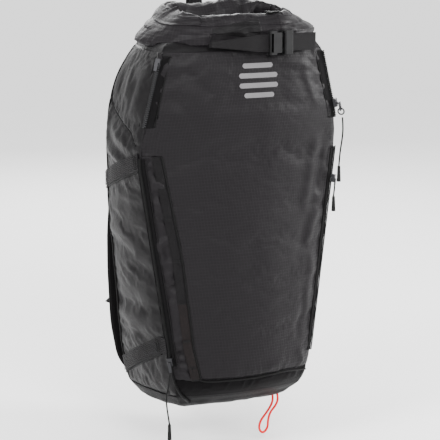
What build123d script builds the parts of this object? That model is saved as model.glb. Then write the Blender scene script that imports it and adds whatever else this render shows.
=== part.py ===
"""Roll-top avalanche airbag backpack, hanging from its haul loop.

Millimetres. +Z is up, the outer (front) face looks along -Y and the back panel lies in the
plane y = 0 with the harness on its +Y side. The origin is the inside top of the haul loop.
Heights in the notes are above the lowest point of the bag; up() turns them into z.
"""
from build123d import *
from math import radians, tan

# ---- driving dimensions -------------------------------------------------------------------
LOOP_HEIGHT = 612.0          # inside top of the haul loop above the base
WALL = 3.0                   # fabric wall with its foam and seam allowance
BACK_CORNER = 26.0           # corner radius between back and side
SIDE_BULGE = 6.0
BODY_TOP = 546.0
SIDE_SEAM = 30.0             # where the base meets side and back
FRONT_SEAM = 66.0            # where the base meets the front panel
WEBBING = 25.0               # strap width
WEBBING_THICK = 1.8
BIG = 400.0                  # cutting prisms reach past the bag

# Stations of the bag: height at the back, back half width, seam half width, seam depth,
# front crown, and how many degrees the section rises towards the front.
STATIONS = [
    (0, 84, 72, 122, 6, 8.5),
    (10, 106, 92, 146, 14, 7.5),
    (30, 120, 101, 160, 22, 5),
    (60, 127, 108, 169, 27, 0),
    (90, 133, 113, 171, 30, 0),
    (160, 139, 123, 168.3, 33, 0),
    (240, 145, 134.5, 165.2, 35, 0),
    (320, 152, 146, 162.1, 35, 0),
    (400, 153, 157.5, 159, 33, 0),
    (440, 152, 153, 168, 31, 0),
    (490, 142, 140.8, 169.4, 26, 0),
    (520, 127, 133.4, 170.3, 20, 0),
    (BODY_TOP, 105, 127, 171, 14, 0),
]

DIVIDER_Y = -125.0           # wall between main compartment and front pocket
FRONT_ZIP = (90.0, 395.0)    # heights of the straight front zips
SHOULDER_ZIP = (440.0, 540.0)
DAISY_WIDTH = 12.0

ROLL_HEIGHT = 575.5          # centreline of the rolled collar
ROLL_CENTRE_Y = -98.0
ROLL_HALF_WIDTH = 120.0
ROLL_HALF_DEPTH = 64.0
ROLL_RADIUS = 24.0
ROLL_TILT = 3.0              # degrees that the ring of the roll dips towards the front

PAD_THICK = 18.0
STRAP_X = 68.0               # shoulder strap centre line
STRAP_WIDTH = 56.0
STRAP_THICK = 12.0
STRAP_FACE_Y = 98.0          # where the strap runs straight down
STRAP_OUTER_Y = STRAP_FACE_Y + STRAP_THICK / 2
STRAP_ROUTE = [(24.7, 400), (24.7, 440), (60, 478), (STRAP_FACE_Y, 440), (STRAP_FACE_Y, 250), (84, 180)]
STRAP_BENDS = [22, 26, 26, 40]

CHEST_HEIGHT = 372.0
HIP_HEIGHTS = (50.0, 128.0)  # lower and upper edge of the hip fins
HIP_HINGE_X = 108.0
HIP_HINGE_Y = 24.0
CARTRIDGE_X = 102.0
CARTRIDGE_Y = -52.0
CARTRIDGE_RADIUS = 23.5
VALVE_HEIGHTS = (236.0, 286.0)
HANDLE_HEIGHT = 292.0
HANDLE_STEM = 6.0            # radius of the trigger handle's stem
COIL_RADIUS = 1.6            # bead of the zip teeth
PULL_CORD = 2.4              # diameter of the zip pull cords
LOOP_CORD = 3.5              # diameter of the red loop's cord

SIDES = {"left": -1, "right": 1}


def up(height):
    """z of a height above the base of the bag."""
    return height - LOOP_HEIGHT


def between(height, column):
    """One station value, linear between the stations."""
    for low, high in zip(STATIONS, STATIONS[1:]):
        if low[0] <= height <= high[0]:
            share = (height - low[0]) / (high[0] - low[0])
            return low[column] + share * (high[column] - low[column])
    raise ValueError(height)


def seam(height, side=1, out=0.0):
    """Point on the side/front seam, moved out of the bag along its corner."""
    return Vector(side * (between(height, 2) + 0.7 * out), -between(height, 3) - 0.7 * out, up(height))


def finish(piece, label):
    """Name a finished piece and write it."""
    piece.part.label = label
    export_step(piece.part, f"parts/{label}.step")


# ---- the bag's outer form -----------------------------------------------------------------
def bag_form(grow, lowest=0.0):
    """Solid of the bag, every face moved out by grow."""
    with BuildPart() as form:
        for height, back, side, depth, crown, rise in STATIONS:
            level = Plane((0, 0, up(max(height, lowest))), x_dir=(1, 0, 0)).rotated((-rise, 0, 0))
            half, edge, deep, radius = back + grow, side + grow, depth + grow, BACK_CORNER + grow
            with BuildSketch(level):
                with BuildLine():
                    corner = radius * 0.2929
                    Line((radius - half, grow), (half - radius, grow))
                    ThreePointArc(
                        (half - radius, grow), (half - corner, grow - corner), (half, grow - radius)
                    )
                    middle = ((half + edge) / 2 + SIDE_BULGE, (grow - radius - deep) / 2)
                    ThreePointArc((half, grow - radius), middle, (edge, -deep))
                    ThreePointArc((edge, -deep), (0, -deep - crown), (-edge, -deep))
                    ThreePointArc((-edge, -deep), (-middle[0], middle[1]), (-half, grow - radius))
                    ThreePointArc(
                        (-half, grow - radius), (corner - half, grow - corner), (radius - half, grow)
                    )
                make_face()
        loft(ruled=True)
    return form.part


def slab(plane, points, near, far):
    """Prism over a closed outline on a plane, from one offset to another."""
    with BuildPart() as prism:
        with BuildSketch(plane.offset(near)):
            with BuildLine():
                Polyline(*points, close=True)
            make_face()
        extrude(amount=far - near)
    return prism.part


def tube(points, radii, radius, hollow=0.0):
    """Round cord or hose along straight runs and tangent arcs."""
    with BuildPart() as cord:
        with BuildLine() as route:
            FilletPolyline(*points, radius=radii)
        with BuildSketch(Plane(origin=route.line @ 0, z_dir=route.line % 0)):
            Circle(radius)
            if hollow:
                Circle(hollow, mode=Mode.SUBTRACT)
        sweep(transition=Transition.RIGHT)
    return cord


def bend_radii(points, share=0.45):
    """Largest arcs that the runs of a cord allow."""
    radii = []
    for before, corner, after in zip(points, points[1:], points[2:]):
        run_in = Vector(*corner) - Vector(*before)
        run_out = Vector(*after) - Vector(*corner)
        turn = radians(run_in.get_angle(run_out))
        radii.append(share * min(run_in.length, run_out.length) / tan(turn / 2))
    return radii


OUTER = bag_form(0)
INNER = bag_form(-WALL, WALL)
SKIN = bag_form(WEBBING_THICK)

with BuildPart() as bag_shell:
    add(OUTER)
    add(INNER, mode=Mode.SUBTRACT)

with BuildPart() as bag_skin:
    add(SKIN)
    add(OUTER, mode=Mode.SUBTRACT)


def block(x_range, y_range, heights):
    """Box between two x, two y and two heights."""
    spans = [high - low for low, high in (x_range, y_range, heights)]
    centre = [sum(x_range) / 2, sum(y_range) / 2, up(sum(heights) / 2)]
    with BuildPart() as box:
        with Locations(tuple(centre)):
            Box(*spans)
    return box.part


def seam_edge(low, high, side=1, shift=0.0):
    """Front-view points (x, z) up the seam, moved sideways by shift."""
    heights = [low] + [row[0] for row in STATIONS if low < row[0] < high] + [high]
    return [(side * (between(h, 2) + shift), up(h)) for h in heights]


def cut_out(source, *regions, without=()):
    """The part of a solid inside every region and outside the others."""
    with BuildPart() as piece:
        add(source)
        for region in regions:
            add(region, mode=Mode.INTERSECT)
        for region in without:
            add(region, mode=Mode.SUBTRACT)
    return piece


# ---- panels of the bag --------------------------------------------------------------------
DAISY_LINE = [(-75, up(FRONT_SEAM)), (-87, up(112)), (-103, up(249)), (-130, up(398))]
FRONT_REACH = (100, 260)     # distances in front of the back plane that hold the front face

front_region = slab(
    Plane.XZ,
    seam_edge(FRONT_SEAM, BODY_TOP) + seam_edge(FRONT_SEAM, BODY_TOP, side=-1)[::-1],
    *FRONT_REACH,
)
gusset_region = slab(
    Plane.XZ, DAISY_LINE + seam_edge(FRONT_SEAM, 400, side=-1)[::-1], *FRONT_REACH
)
base_front_region = slab(
    Plane.XZ,
    seam_edge(SIDE_SEAM, FRONT_SEAM) + seam_edge(SIDE_SEAM, FRONT_SEAM, side=-1)[::-1],
    *FRONT_REACH,
)
everywhere = (-BIG, BIG)
behind_sides = (-BACK_CORNER, BIG)
before_back = (-BIG, -BACK_CORNER)

front_pocket_panel = cut_out(bag_shell.part, front_region, without=[gusset_region])
finish(front_pocket_panel, "front_pocket_panel")

front_gusset_left = cut_out(bag_shell.part, gusset_region)
finish(front_gusset_left, "front_gusset_left")

for name, sign in SIDES.items():
    half_space = block(sorted((0, sign * BIG)), before_back, (SIDE_SEAM, BODY_TOP))
    side_panel = cut_out(bag_shell.part, half_space, without=[front_region, base_front_region])
    finish(side_panel, f"side_panel_{name}")

with BuildPart() as cable_port:
    with BuildSketch(Plane.XZ.offset(-10)):
        with Locations((-88, up(505.9))):
            Circle(3.4)
    extrude(amount=20)

back_panel = cut_out(
    bag_shell.part, block(everywhere, behind_sides, (SIDE_SEAM, BODY_TOP)), without=[cable_port.part]
)
finish(back_panel, "back_panel")

with BuildPart() as base_panel:
    add(bag_shell.part)
    add(block(everywhere, everywhere, (-20, SIDE_SEAM)) + base_front_region, mode=Mode.INTERSECT)
finish(base_panel, "base_panel")

with BuildPart() as top_collar:
    add(block(everywhere, everywhere, (BODY_TOP - 1, BODY_TOP)))
    add(OUTER, mode=Mode.INTERSECT)
    add(bag_shell.part, mode=Mode.SUBTRACT)
finish(top_collar, "top_collar")

# ---- rolled collar and its strap ----------------------------------------------------------
roll_plane = Plane((0, ROLL_CENTRE_Y, up(ROLL_HEIGHT)), x_dir=(1, 0, 0)).rotated((ROLL_TILT, 0, 0))
with BuildPart() as roll_top:
    with BuildLine(roll_plane) as ring:
        straight = ROLL_HALF_WIDTH - ROLL_HALF_DEPTH
        Line((-straight, -ROLL_HALF_DEPTH), (straight, -ROLL_HALF_DEPTH))
        RadiusArc((straight, -ROLL_HALF_DEPTH), (straight, ROLL_HALF_DEPTH), -ROLL_HALF_DEPTH)
        Line((straight, ROLL_HALF_DEPTH), (-straight, ROLL_HALF_DEPTH))
        RadiusArc((-straight, ROLL_HALF_DEPTH), (-straight, -ROLL_HALF_DEPTH), -ROLL_HALF_DEPTH)
    with BuildSketch(Plane(origin=ring.line @ 0, z_dir=ring.line % 0)):
        Circle(ROLL_RADIUS)
    sweep()
finish(roll_top, "roll_top")


def ribbon(plane, points, radii, thick, width):
    """Strap standing on edge over a route on a plane."""
    with BuildPart() as strap:
        with BuildSketch(plane):
            with BuildLine():
                FilletPolyline(*points, radius=radii)
            trace(line_width=thick)
        extrude(amount=width / 2, both=True)
    return strap


def buckle_female(plane, width):
    """Socket half of a side-release buckle: x along the strap, z across it."""
    size = width / 25
    with BuildPart(plane) as socket:
        with Locations((-9 * size, 0)):
            Box(22 * size, 8, width + 9)
        fillet(socket.edges().filter_by(Axis.Z), 2.2)
        with Locations((-size, 0)):
            Box(22.4 * size, 4.4, width + 2.4, mode=Mode.SUBTRACT)
        with Locations((-16.6 * size, 0)):
            Box(4 * size, 9, width + 2, mode=Mode.SUBTRACT)
        for edge in (1, -1):
            with Locations((-4 * size, 0, edge * (width + 9) / 2)):
                Box(9 * size, 9, 5, mode=Mode.SUBTRACT)
    return socket


def buckle_male(plane, width):
    """Pronged half; its webbing runs through a slot in front of the prongs."""
    size = width / 25
    with BuildPart(plane) as plug:
        with Locations((12 * size, -1.5)):
            Box(15 * size, 11, width + 9)
        fillet(plug.edges().filter_by(Axis.Z), 2.2)
        with Locations((12 * size, -4.6)):
            Box(16 * size, 2.6, width + 1.6, mode=Mode.SUBTRACT)
        for edge in (1, -1):
            with Locations((-2.2 * size, 0, edge * 0.4 * width)):
                Box(15 * size, 3.4, 0.2 * width)
    return plug


# ---- strap and buckle over the front of the roll ------------------------------------------
# The buckle lies on its own plane: x along the strap, z up, -y outward.
ROLL_STRAP_HEIGHT = 556.0
roll_buckle_plane = Plane((48, -194.5, up(ROLL_STRAP_HEIGHT)), x_dir=(1, 0, 0)).rotated((0, 0, 12))
finish(buckle_female(roll_buckle_plane, WEBBING), "roll_buckle_female")
finish(buckle_male(roll_buckle_plane, WEBBING), "roll_buckle_male")

strap_level = Plane.XY.offset(up(ROLL_STRAP_HEIGHT))
left_route = [(28, -198.7), (12, -197), (-62, -190)]
with BuildPart() as roll_straps:
    add(ribbon(strap_level, left_route, [60], 1.6, WEBBING).part)
    with BuildSketch(roll_buckle_plane.offset(-WEBBING / 2)):
        with Locations((33.5, -4.6)):
            Rectangle(57, 1.6)
    extrude(amount=WEBBING)
finish(roll_straps, "roll_straps")

# ---- haul loop ----------------------------------------------------------------------------
LOOP_GAP = 12.0
LOOP_THICK = 2.6
leg_y = (LOOP_GAP + LOOP_THICK) / 2
loop_route = [
    (LOOP_THICK / 2 + 0.1, up(500)),
    (LOOP_THICK / 2 + 0.1, up(548)),
    (-leg_y, up(566)),
    (-leg_y, LOOP_THICK / 2),
    (leg_y, LOOP_THICK / 2),
    (leg_y, up(560)),
    (LOOP_THICK * 1.5 + 0.5, up(536)),
    (LOOP_THICK * 1.5 + 0.5, up(500)),
]
haul_loop = ribbon(Plane.YZ, loop_route, [8, 12, 6, 6, 20, 8], LOOP_THICK, 20)
finish(haul_loop, "haul_loop")

# ---- zips ---------------------------------------------------------------------------------
TAPE_REACH = 6.0
ZIPS = {
    "shoulder_zip_left": (-1, SHOULDER_ZIP),
    "shoulder_zip_right": (1, SHOULDER_ZIP),
    "front_zip_left": (-1, FRONT_ZIP),
    "front_zip_right": (1, FRONT_ZIP),
}
COIL_OUT = WEBBING_THICK + 1.0


def seam_direction(span, side):
    """Unit vector up a straight zip."""
    return (seam(span[1], side) - seam(span[0], side)).normalized()


for name, (sign, (low, high)) in ZIPS.items():
    front_view = slab(
        Plane.XZ,
        seam_edge(low, high, sign, -TAPE_REACH) + seam_edge(low, high, sign, 30)[::-1],
        *FRONT_REACH,
    )
    side_view = slab(
        Plane.YZ,
        [(-between(low, 3) + TAPE_REACH, up(low)), (-between(high, 3) + TAPE_REACH, up(high)),
         (-BIG, up(high)), (-BIG, up(low))],
        -BIG,
        BIG,
    )
    foot = seam(low, sign, COIL_OUT)
    zip_tape = cut_out(bag_skin.part, front_view, side_view)
    with BuildPart() as zip_line:
        add(zip_tape.part)
        with BuildSketch(Plane(origin=foot, z_dir=seam_direction((low, high), sign))):
            Circle(COIL_RADIUS)
        extrude(amount=(seam(high, sign, COIL_OUT) - foot).length)
    finish(zip_line, name)


def slider_plane(span, side, height):
    """x outward from the seam, z up the zip."""
    return Plane(
        origin=seam(height, side, COIL_OUT), x_dir=(side, -1, 0), z_dir=seam_direction(span, side)
    )


SLIDER_TALL = 12.0
TAB_BAR = 1.0                # radius of the round bar that the pull ring hangs on
TAB_BAR_LONG = 7.0
TAB_SLOT = 5.4               # height of the slot above that bar


def zip_slider(plane, tab, tab_out=5.6, slotted=False):
    """Slider over the coil with a metal tab hanging tab_out in front of it."""
    with BuildPart(plane) as slider:
        with Locations((2.2, 0)):
            Box(5.2, 8, SLIDER_TALL)
        fillet(slider.edges().filter_by(Axis(plane.origin, plane.z_dir)), 0.8)
        Cylinder(COIL_RADIUS + 0.5, SLIDER_TALL + 2, mode=Mode.SUBTRACT)
        with Locations((-0.6, 0)):
            Box(1.6, 2 * COIL_RADIUS + 1, SLIDER_TALL + 2, mode=Mode.SUBTRACT)
        with Locations((tab_out / 2 + 2, 0, -1)):
            Box(tab_out - 3, 4.6, 2)
        with Locations((tab_out, 0, -tab / 2)):
            Box(1.8, TAB_BAR_LONG if slotted else 4.6, tab)
        if slotted:
            with Locations((tab_out, 0, TAB_SLOT / 2 - tab)):
                Box(2, 3.8, TAB_SLOT + 0.2, mode=Mode.SUBTRACT)
            with Locations(Location((tab_out, 0, -tab), (90, 0, 0))):
                Cylinder(TAB_BAR, TAB_BAR_LONG)
    return slider


RING_OUT = 8.6               # the ring's tab stands this far out from the coil
RING_RADIUS = 4.6
RING_WIRE = 1.1
RING_BAR_DROP = 12.4         # the bar hangs this far below the middle of the slider
RING_HANG = 2.2              # and the ring's middle this far below the bar
shoulder_right_plane = slider_plane(SHOULDER_ZIP, 1, 462)
finish(zip_slider(slider_plane(SHOULDER_ZIP, -1, 532), 12), "zip_slider_shoulder_left")
shoulder_right_slider = zip_slider(shoulder_right_plane, RING_BAR_DROP, RING_OUT, slotted=True)
finish(shoulder_right_slider, "zip_slider_shoulder_right")
finish(zip_slider(slider_plane(FRONT_ZIP, -1, 98), 15), "zip_slider_front_left")
finish(zip_slider(slider_plane(FRONT_ZIP, 1, 348), 10), "zip_slider_front_right")

with BuildPart(shoulder_right_plane) as zip_pull_ring:
    with Locations(Location((RING_OUT, 0, -RING_BAR_DROP - RING_HANG), (90, 0, 0))):
        Torus(RING_RADIUS, RING_WIRE)
finish(zip_pull_ring, "zip_pull_ring")

# ---- free cords ---------------------------------------------------------------------------
CORDS = {
    "pull_cord_front_left": (
        PULL_CORD,
        [(-118.6, -176.9, 82.2), (-121.5, -179.5, 66), (-127, -180.5, 46), (-124.5, -180, 25), (-121, -179, 6)],
    ),
    "pull_cord_shoulder_right": (
        PULL_CORD,
        [(161.4, -176.3, 440.2), (162, -178, 425), (159.6, -179.4, 407), (156.6, -178.4, 388),
         (156, -177, 368)],
    ),
    "pull_cord_front_right": (
        PULL_CORD,
        [(154.3, -167.4, 337.2), (153.2, -169.6, 333), (151.2, -171.2, 327.5), (150.4, -171.8, 322)],
    ),
    "red_cord_loop": (
        LOOP_CORD,
        [(72, -127, 17.5), (74, -127.5, 7), (69.5, -128.5, -4), (60, -129.5, -15), (50, -131, -25),
         (47, -132, -37), (54, -132.6, -44.5), (62, -132.8, -37), (62.5, -132.6, -24), (66.5, -132.3, -12),
         (76, -132.2, -3), (80.5, -132, 8), (77.5, -132, 18.3)],
    ),
}
for name, (thick, heights) in CORDS.items():
    points = [(x, y, up(height)) for x, y, height in heights]
    finish(tube(points, bend_radii(points), thick / 2), name)

PULL_ENDS = {"front_left": 24.0, "shoulder_right": 24.0, "front_right": 23.0}
for name, length in PULL_ENDS.items():
    x, y, height = CORDS[f"pull_cord_{name}"][1][-1]
    with BuildPart() as pull_end:
        with BuildSketch(Plane((x, y, up(height) - 0.4), z_dir=(0, 0, -1))):
            Circle(2.2)
        with BuildSketch(Plane((x, y, up(height - length)), z_dir=(0, 0, -1))):
            Circle(3.2)
        loft()
        fillet(pull_end.edges().sort_by(Axis.Z)[0], 1.2)
    finish(pull_end, f"pull_end_{name}")

# ---- webbing on the panels ----------------------------------------------------------------
daisy_band = [(x - DAISY_WIDTH, z) for x, z in DAISY_LINE[::-1]]
daisy_chain = cut_out(bag_skin.part, slab(Plane.XZ, DAISY_LINE + daisy_band, *FRONT_REACH))
finish(daisy_chain, "daisy_chain")

# Top edge of each compression strap: height at the front seam and at the back edge.
COMPRESSION = {"upper": (402.0, 358.0), "lower": (131.0, 68.0)}
STRAP_FRONT_Y = -152.0
STRAP_BACK_Y = -12.0
for name, sign in SIDES.items():
    regions = [
        slab(
            Plane.YZ,
            [(STRAP_FRONT_Y, up(front)), (STRAP_BACK_Y, up(back)),
             (STRAP_BACK_Y, up(back - WEBBING)), (STRAP_FRONT_Y, up(front - WEBBING))],
            *sorted((sign * 60, sign * BIG)),
        )
        for front, back in COMPRESSION.values()
    ]
    with BuildPart() as compression_straps:
        add(bag_skin.part)
        add(regions[0] + regions[1], mode=Mode.INTERSECT)
    finish(compression_straps, f"compression_straps_{name}")


# ---- inside the bag -----------------------------------------------------------------------
DIVIDER_THICK = 2.0
DIVIDER_HEIGHTS = (28.0, BODY_TOP - 1.5)
divider_region = block(everywhere, (DIVIDER_Y, DIVIDER_Y + DIVIDER_THICK), DIVIDER_HEIGHTS)
finish(cut_out(INNER, divider_region), "compartment_divider")

SHEET_Y = -4.5
SHEET_THICK = 2.0
SHEET_HEIGHTS = (42.0, 482.0)
with BuildPart() as frame_sheet:
    with BuildSketch(Plane.XZ.offset(-SHEET_Y)):
        with Locations((0, up(sum(SHEET_HEIGHTS) / 2))):
            RectangleRounded(204, SHEET_HEIGHTS[1] - SHEET_HEIGHTS[0], 24)
    extrude(amount=SHEET_THICK)
finish(frame_sheet, "frame_sheet")

with BuildPart() as frame_stays:
    with BuildSketch(Plane.XZ.offset(SHEET_THICK - SHEET_Y)):
        with Locations((-56, up(262)), (56, up(262))):
            SlotOverall(420, 15, rotation=90)
    extrude(amount=3)
finish(frame_stays, "frame_stays")

AIRBAG = (24.0, 58.0)        # thickness and depth of a folded airbag
AIRBAG_PLACES = {"left": (-125.0, -52.0, 252.0, 488.0), "right": (125.0, -52.0, 332.0, 488.0)}
for name, (x, y, low, high) in AIRBAG_PLACES.items():
    with BuildPart() as airbag:
        with BuildSketch(Plane.XY.offset(up(low))):
            with Locations((x, y)):
                RectangleRounded(*AIRBAG, 10)
        extrude(amount=high - low)
        fillet(airbag.faces().filter_by(Axis.Z).edges(), 6)
    finish(airbag, f"airbag_{name}")

# Gas cartridge screwed up into the valve body, with the lever and pin that pierce it.
NECK_RADIUS = 9.0
NECK_DEPTH = 8.0
PIN_RADIUS = 2.0
LEVER_PIVOT = (CARTRIDGE_X - 12, CARTRIDGE_Y, up(VALVE_HEIGHTS[1] + 7))
cartridge_foot = 66.0
cartridge_shoulder = VALVE_HEIGHTS[0] - 6
with BuildPart() as gas_cartridge:
    with BuildSketch(Plane.XY.offset(up(cartridge_foot))):
        with Locations((CARTRIDGE_X, CARTRIDGE_Y)):
            Circle(CARTRIDGE_RADIUS)
    extrude(amount=cartridge_shoulder - cartridge_foot)
    fillet(gas_cartridge.edges().sort_by(Axis.Z)[-1], 15)
    fillet(gas_cartridge.edges().sort_by(Axis.Z)[0], 8)
    with BuildSketch(Plane.XY.offset(up(cartridge_shoulder - 2))):
        with Locations((CARTRIDGE_X, CARTRIDGE_Y)):
            Circle(NECK_RADIUS)
    extrude(amount=2 + VALVE_HEIGHTS[0] - cartridge_shoulder + NECK_DEPTH)
finish(gas_cartridge, "gas_cartridge")

with BuildPart() as valve_body:
    with Locations((CARTRIDGE_X, CARTRIDGE_Y, up(sum(VALVE_HEIGHTS) / 2))):
        Box(44, 40, VALVE_HEIGHTS[1] - VALVE_HEIGHTS[0])
    fillet(valve_body.edges().filter_by(Axis.Z), 6)
    for ear in (-8, 8):
        with Locations((LEVER_PIVOT[0], LEVER_PIVOT[1] + ear, up(VALVE_HEIGHTS[1] + 5.5))):
            Box(10, 4, 13)
    with BuildSketch(Plane.XZ.offset(10 - LEVER_PIVOT[1])):
        with Locations((LEVER_PIVOT[0], LEVER_PIVOT[2])):
            Circle(PIN_RADIUS)
    extrude(amount=-20)
    with BuildSketch(Plane.XY.offset(up(VALVE_HEIGHTS[0]))):
        with Locations((CARTRIDGE_X, CARTRIDGE_Y)):
            Circle(NECK_RADIUS + 0.08)
    extrude(amount=NECK_DEPTH + 0.5, mode=Mode.SUBTRACT)
    with BuildSketch(Plane.XY.offset(up(VALVE_HEIGHTS[0]))):
        with Locations((CARTRIDGE_X, CARTRIDGE_Y)):
            Circle(PIN_RADIUS + 0.06)
    extrude(amount=60, mode=Mode.SUBTRACT)
finish(valve_body, "valve_body")

with BuildPart() as piercing_pin:
    with BuildSketch(Plane.XY.offset(up(VALVE_HEIGHTS[0] + NECK_DEPTH + 8))):
        with Locations((CARTRIDGE_X, CARTRIDGE_Y)):
            Circle(PIN_RADIUS)
    extrude(amount=VALVE_HEIGHTS[1] - VALVE_HEIGHTS[0] - NECK_DEPTH - 4)
    chamfer(piercing_pin.edges().sort_by(Axis.Z)[0], 1.4)
finish(piercing_pin, "piercing_pin")

with BuildPart() as release_lever:
    with BuildSketch(Plane.XZ.offset(5.6 - LEVER_PIVOT[1])):
        with Locations((LEVER_PIVOT[0], LEVER_PIVOT[2])):
            Circle(4.4)
            with Locations((0, 12)):
                Rectangle(5, 24)
            Circle(PIN_RADIUS + 0.06, mode=Mode.SUBTRACT)
    extrude(amount=-11.2)
finish(release_lever, "release_lever")

HOSE_RADIUS = 4.0
HOSE_BORE = 2.6
hose_routes = {
    "gas_hose_left": [
        (CARTRIDGE_X - 24, -50, 262), (60, -42, 261), (36, -23, 252), (-8, -16, 238), (-58, -16, 226),
        (-100, -22, 214), (-122, -40, 216), (-127, -51, 234), (-126, -52, 251),
    ],
    "gas_hose_right": [
        (CARTRIDGE_X + 14, -52, VALVE_HEIGHTS[1] + 0.8), (118, -53, 301), (123, -52, 317), (124, -51, 331),
    ],
}
gas_hose_parts = []
for heights in hose_routes.values():
    points = [(x, y, up(height)) for x, y, height in heights]
    gas_hose_parts.append(tube(points, bend_radii(points), HOSE_RADIUS, HOSE_BORE).part)
with BuildPart() as gas_hoses:
    for hose in gas_hose_parts:
        add(hose)
finish(gas_hoses, "gas_hoses")

# ---- back of the bag ----------------------------------------------------------------------
PAD_GAP = 0.2
pad_outline = [(100, 30), (127, 62), (138, 120), (142, 200), (142, 260), (136, 340), (118, 440), (92, 494)]
pad_points = [(x, up(h)) for x, h in pad_outline] + [(-x, up(h)) for x, h in pad_outline[::-1]]
with BuildPart() as back_pad:
    with BuildSketch(Plane.XZ.offset(-PAD_GAP)):
        with BuildLine():
            FilletPolyline(*pad_points, radius=16, close=True)
        make_face()
    extrude(amount=-PAD_THICK)
    chamfer(back_pad.faces().sort_by(Axis.Y)[-1].edges(), 4)
finish(back_pad, "back_pad")

LUMBAR_Y = (PAD_GAP + PAD_THICK, 34.0)
with BuildPart() as lumbar_pad:
    with BuildSketch(Plane.XZ.offset(-LUMBAR_Y[0])):
        with Locations((0, up(92))):
            RectangleRounded(176, 96, 26)
    extrude(amount=LUMBAR_Y[0] - LUMBAR_Y[1])
    chamfer(lumbar_pad.faces().sort_by(Axis.Y)[-1].edges(), 5)
finish(lumbar_pad, "lumbar_pad")

# The release cable leaves the trigger's dock, runs up a tunnel in the left strap and enters the
# bag above the back pad.
CABLE_RADIUS = 2.0
cable_route = [
    (-74, STRAP_OUTER_Y + 3.6, HANDLE_HEIGHT + 22.9), (-75, STRAP_OUTER_Y + 0.4, 323), (-76, 98.6, 335),
    (-78, 98, 352), (-82, 98.4, 390), (-85, 97.4, 424), (-87, 84, 454), (-88, 62, 478), (-88, 42, 494),
    (-88, 20, 503.4), (-88, 2, 506), (-86, -12, 504), (-72, -16.5, 494), (-46, -17, 470),
    (-12, -17.5, 428), (26, -18, 386), (60, -19, 346), (78, -24, 318), (85, -33, 301), (86, -38, 287),
]
cable_points = [(x, y, up(height)) for x, y, height in cable_route]
cable_radii = bend_radii(cable_points)
finish(tube(cable_points, cable_radii, CABLE_RADIUS), "release_cable")

strap_points = [(y, up(height)) for y, height in STRAP_ROUTE]
for name, sign in SIDES.items():
    strap_plane = Plane.YZ.offset(sign * STRAP_X)
    strap_form = ribbon(strap_plane, strap_points, STRAP_BENDS, STRAP_THICK, STRAP_WIDTH)
    if name == "left":
        tunnel = tube(cable_points, cable_radii, CABLE_RADIUS + 0.5)
        strap_form = cut_out(strap_form.part, without=[tunnel.part])
    finish(strap_form, f"shoulder_strap_{name}")

strap_end = (STRAP_ROUTE[-1][0] - 1.6, STRAP_ROUTE[-1][1] - 7.6)
with BuildPart() as ladder_locks:
    for sign in SIDES.values():
        with BuildSketch(Plane.XY.offset(up(strap_end[1] - 8))):
            with Locations((sign * STRAP_X, strap_end[0])):
                Rectangle(27, 5)
        extrude(amount=15)
        for slot in (3, 8):
            with Locations((sign * STRAP_X, strap_end[0], up(strap_end[1] - 8 + slot))):
                Box(21, 6, 2.4, mode=Mode.SUBTRACT)
finish(ladder_locks, "ladder_locks")

webbing_runs = [
    ((STRAP_X + 1, strap_end[0] - 1, up(strap_end[1] - 10.5)), (130, 25.4, up(144))),
    ((STRAP_X - 4, 60, up(486)), (58, 1.8, up(532))),
]
with BuildPart() as harness_webbings:
    for start, end in webbing_runs:
        for sign in SIDES.values():
            run = Vector(sign * (end[0] - start[0]), end[1] - start[1], end[2] - start[2])
            foot = (sign * start[0], start[1], start[2])
            with BuildSketch(Plane(origin=foot, x_dir=(1, 0, 0), z_dir=run)):
                Rectangle(20, 1.6)
            extrude(amount=run.length)
finish(harness_webbings, "harness_webbings")

# ---- chest strap --------------------------------------------------------------------------
GUIDE_GAP = 0.7
with BuildPart() as chest_guides:
    for sign in SIDES.values():
        with Locations((sign * STRAP_X, STRAP_FACE_Y, up(CHEST_HEIGHT))):
            Box(STRAP_WIDTH + 8, STRAP_THICK + 6, 14)
            Box(STRAP_WIDTH + 2 * GUIDE_GAP, STRAP_THICK + 2 * GUIDE_GAP, 16, mode=Mode.SUBTRACT)
finish(chest_guides, "chest_guides")

CHEST_WEBBING = 20.0
CHEST_FACE_Y = STRAP_FACE_Y + STRAP_THICK / 2 + 3
chest_plane = Plane((0, CHEST_FACE_Y + 5, up(CHEST_HEIGHT)), x_dir=(-1, 0, 0))
finish(buckle_female(chest_plane, CHEST_WEBBING), "chest_buckle_female")
finish(buckle_male(chest_plane, CHEST_WEBBING), "chest_buckle_male")
with BuildPart() as chest_webbing:
    with Locations((-39, CHEST_FACE_Y + 9.6, up(CHEST_HEIGHT))):
        Box(68, 1.6, CHEST_WEBBING)
    with Locations((-68, CHEST_FACE_Y + 4.9, up(CHEST_HEIGHT))):
        Box(10, 7.8, CHEST_WEBBING)
    with Locations((43, CHEST_FACE_Y + 0.8, up(CHEST_HEIGHT))):
        Box(50, 1.6, CHEST_WEBBING)
    with Locations((18.2, CHEST_FACE_Y + 3, up(CHEST_HEIGHT))):
        Box(3.6, 6, CHEST_WEBBING)
finish(chest_webbing, "chest_webbing")

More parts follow.
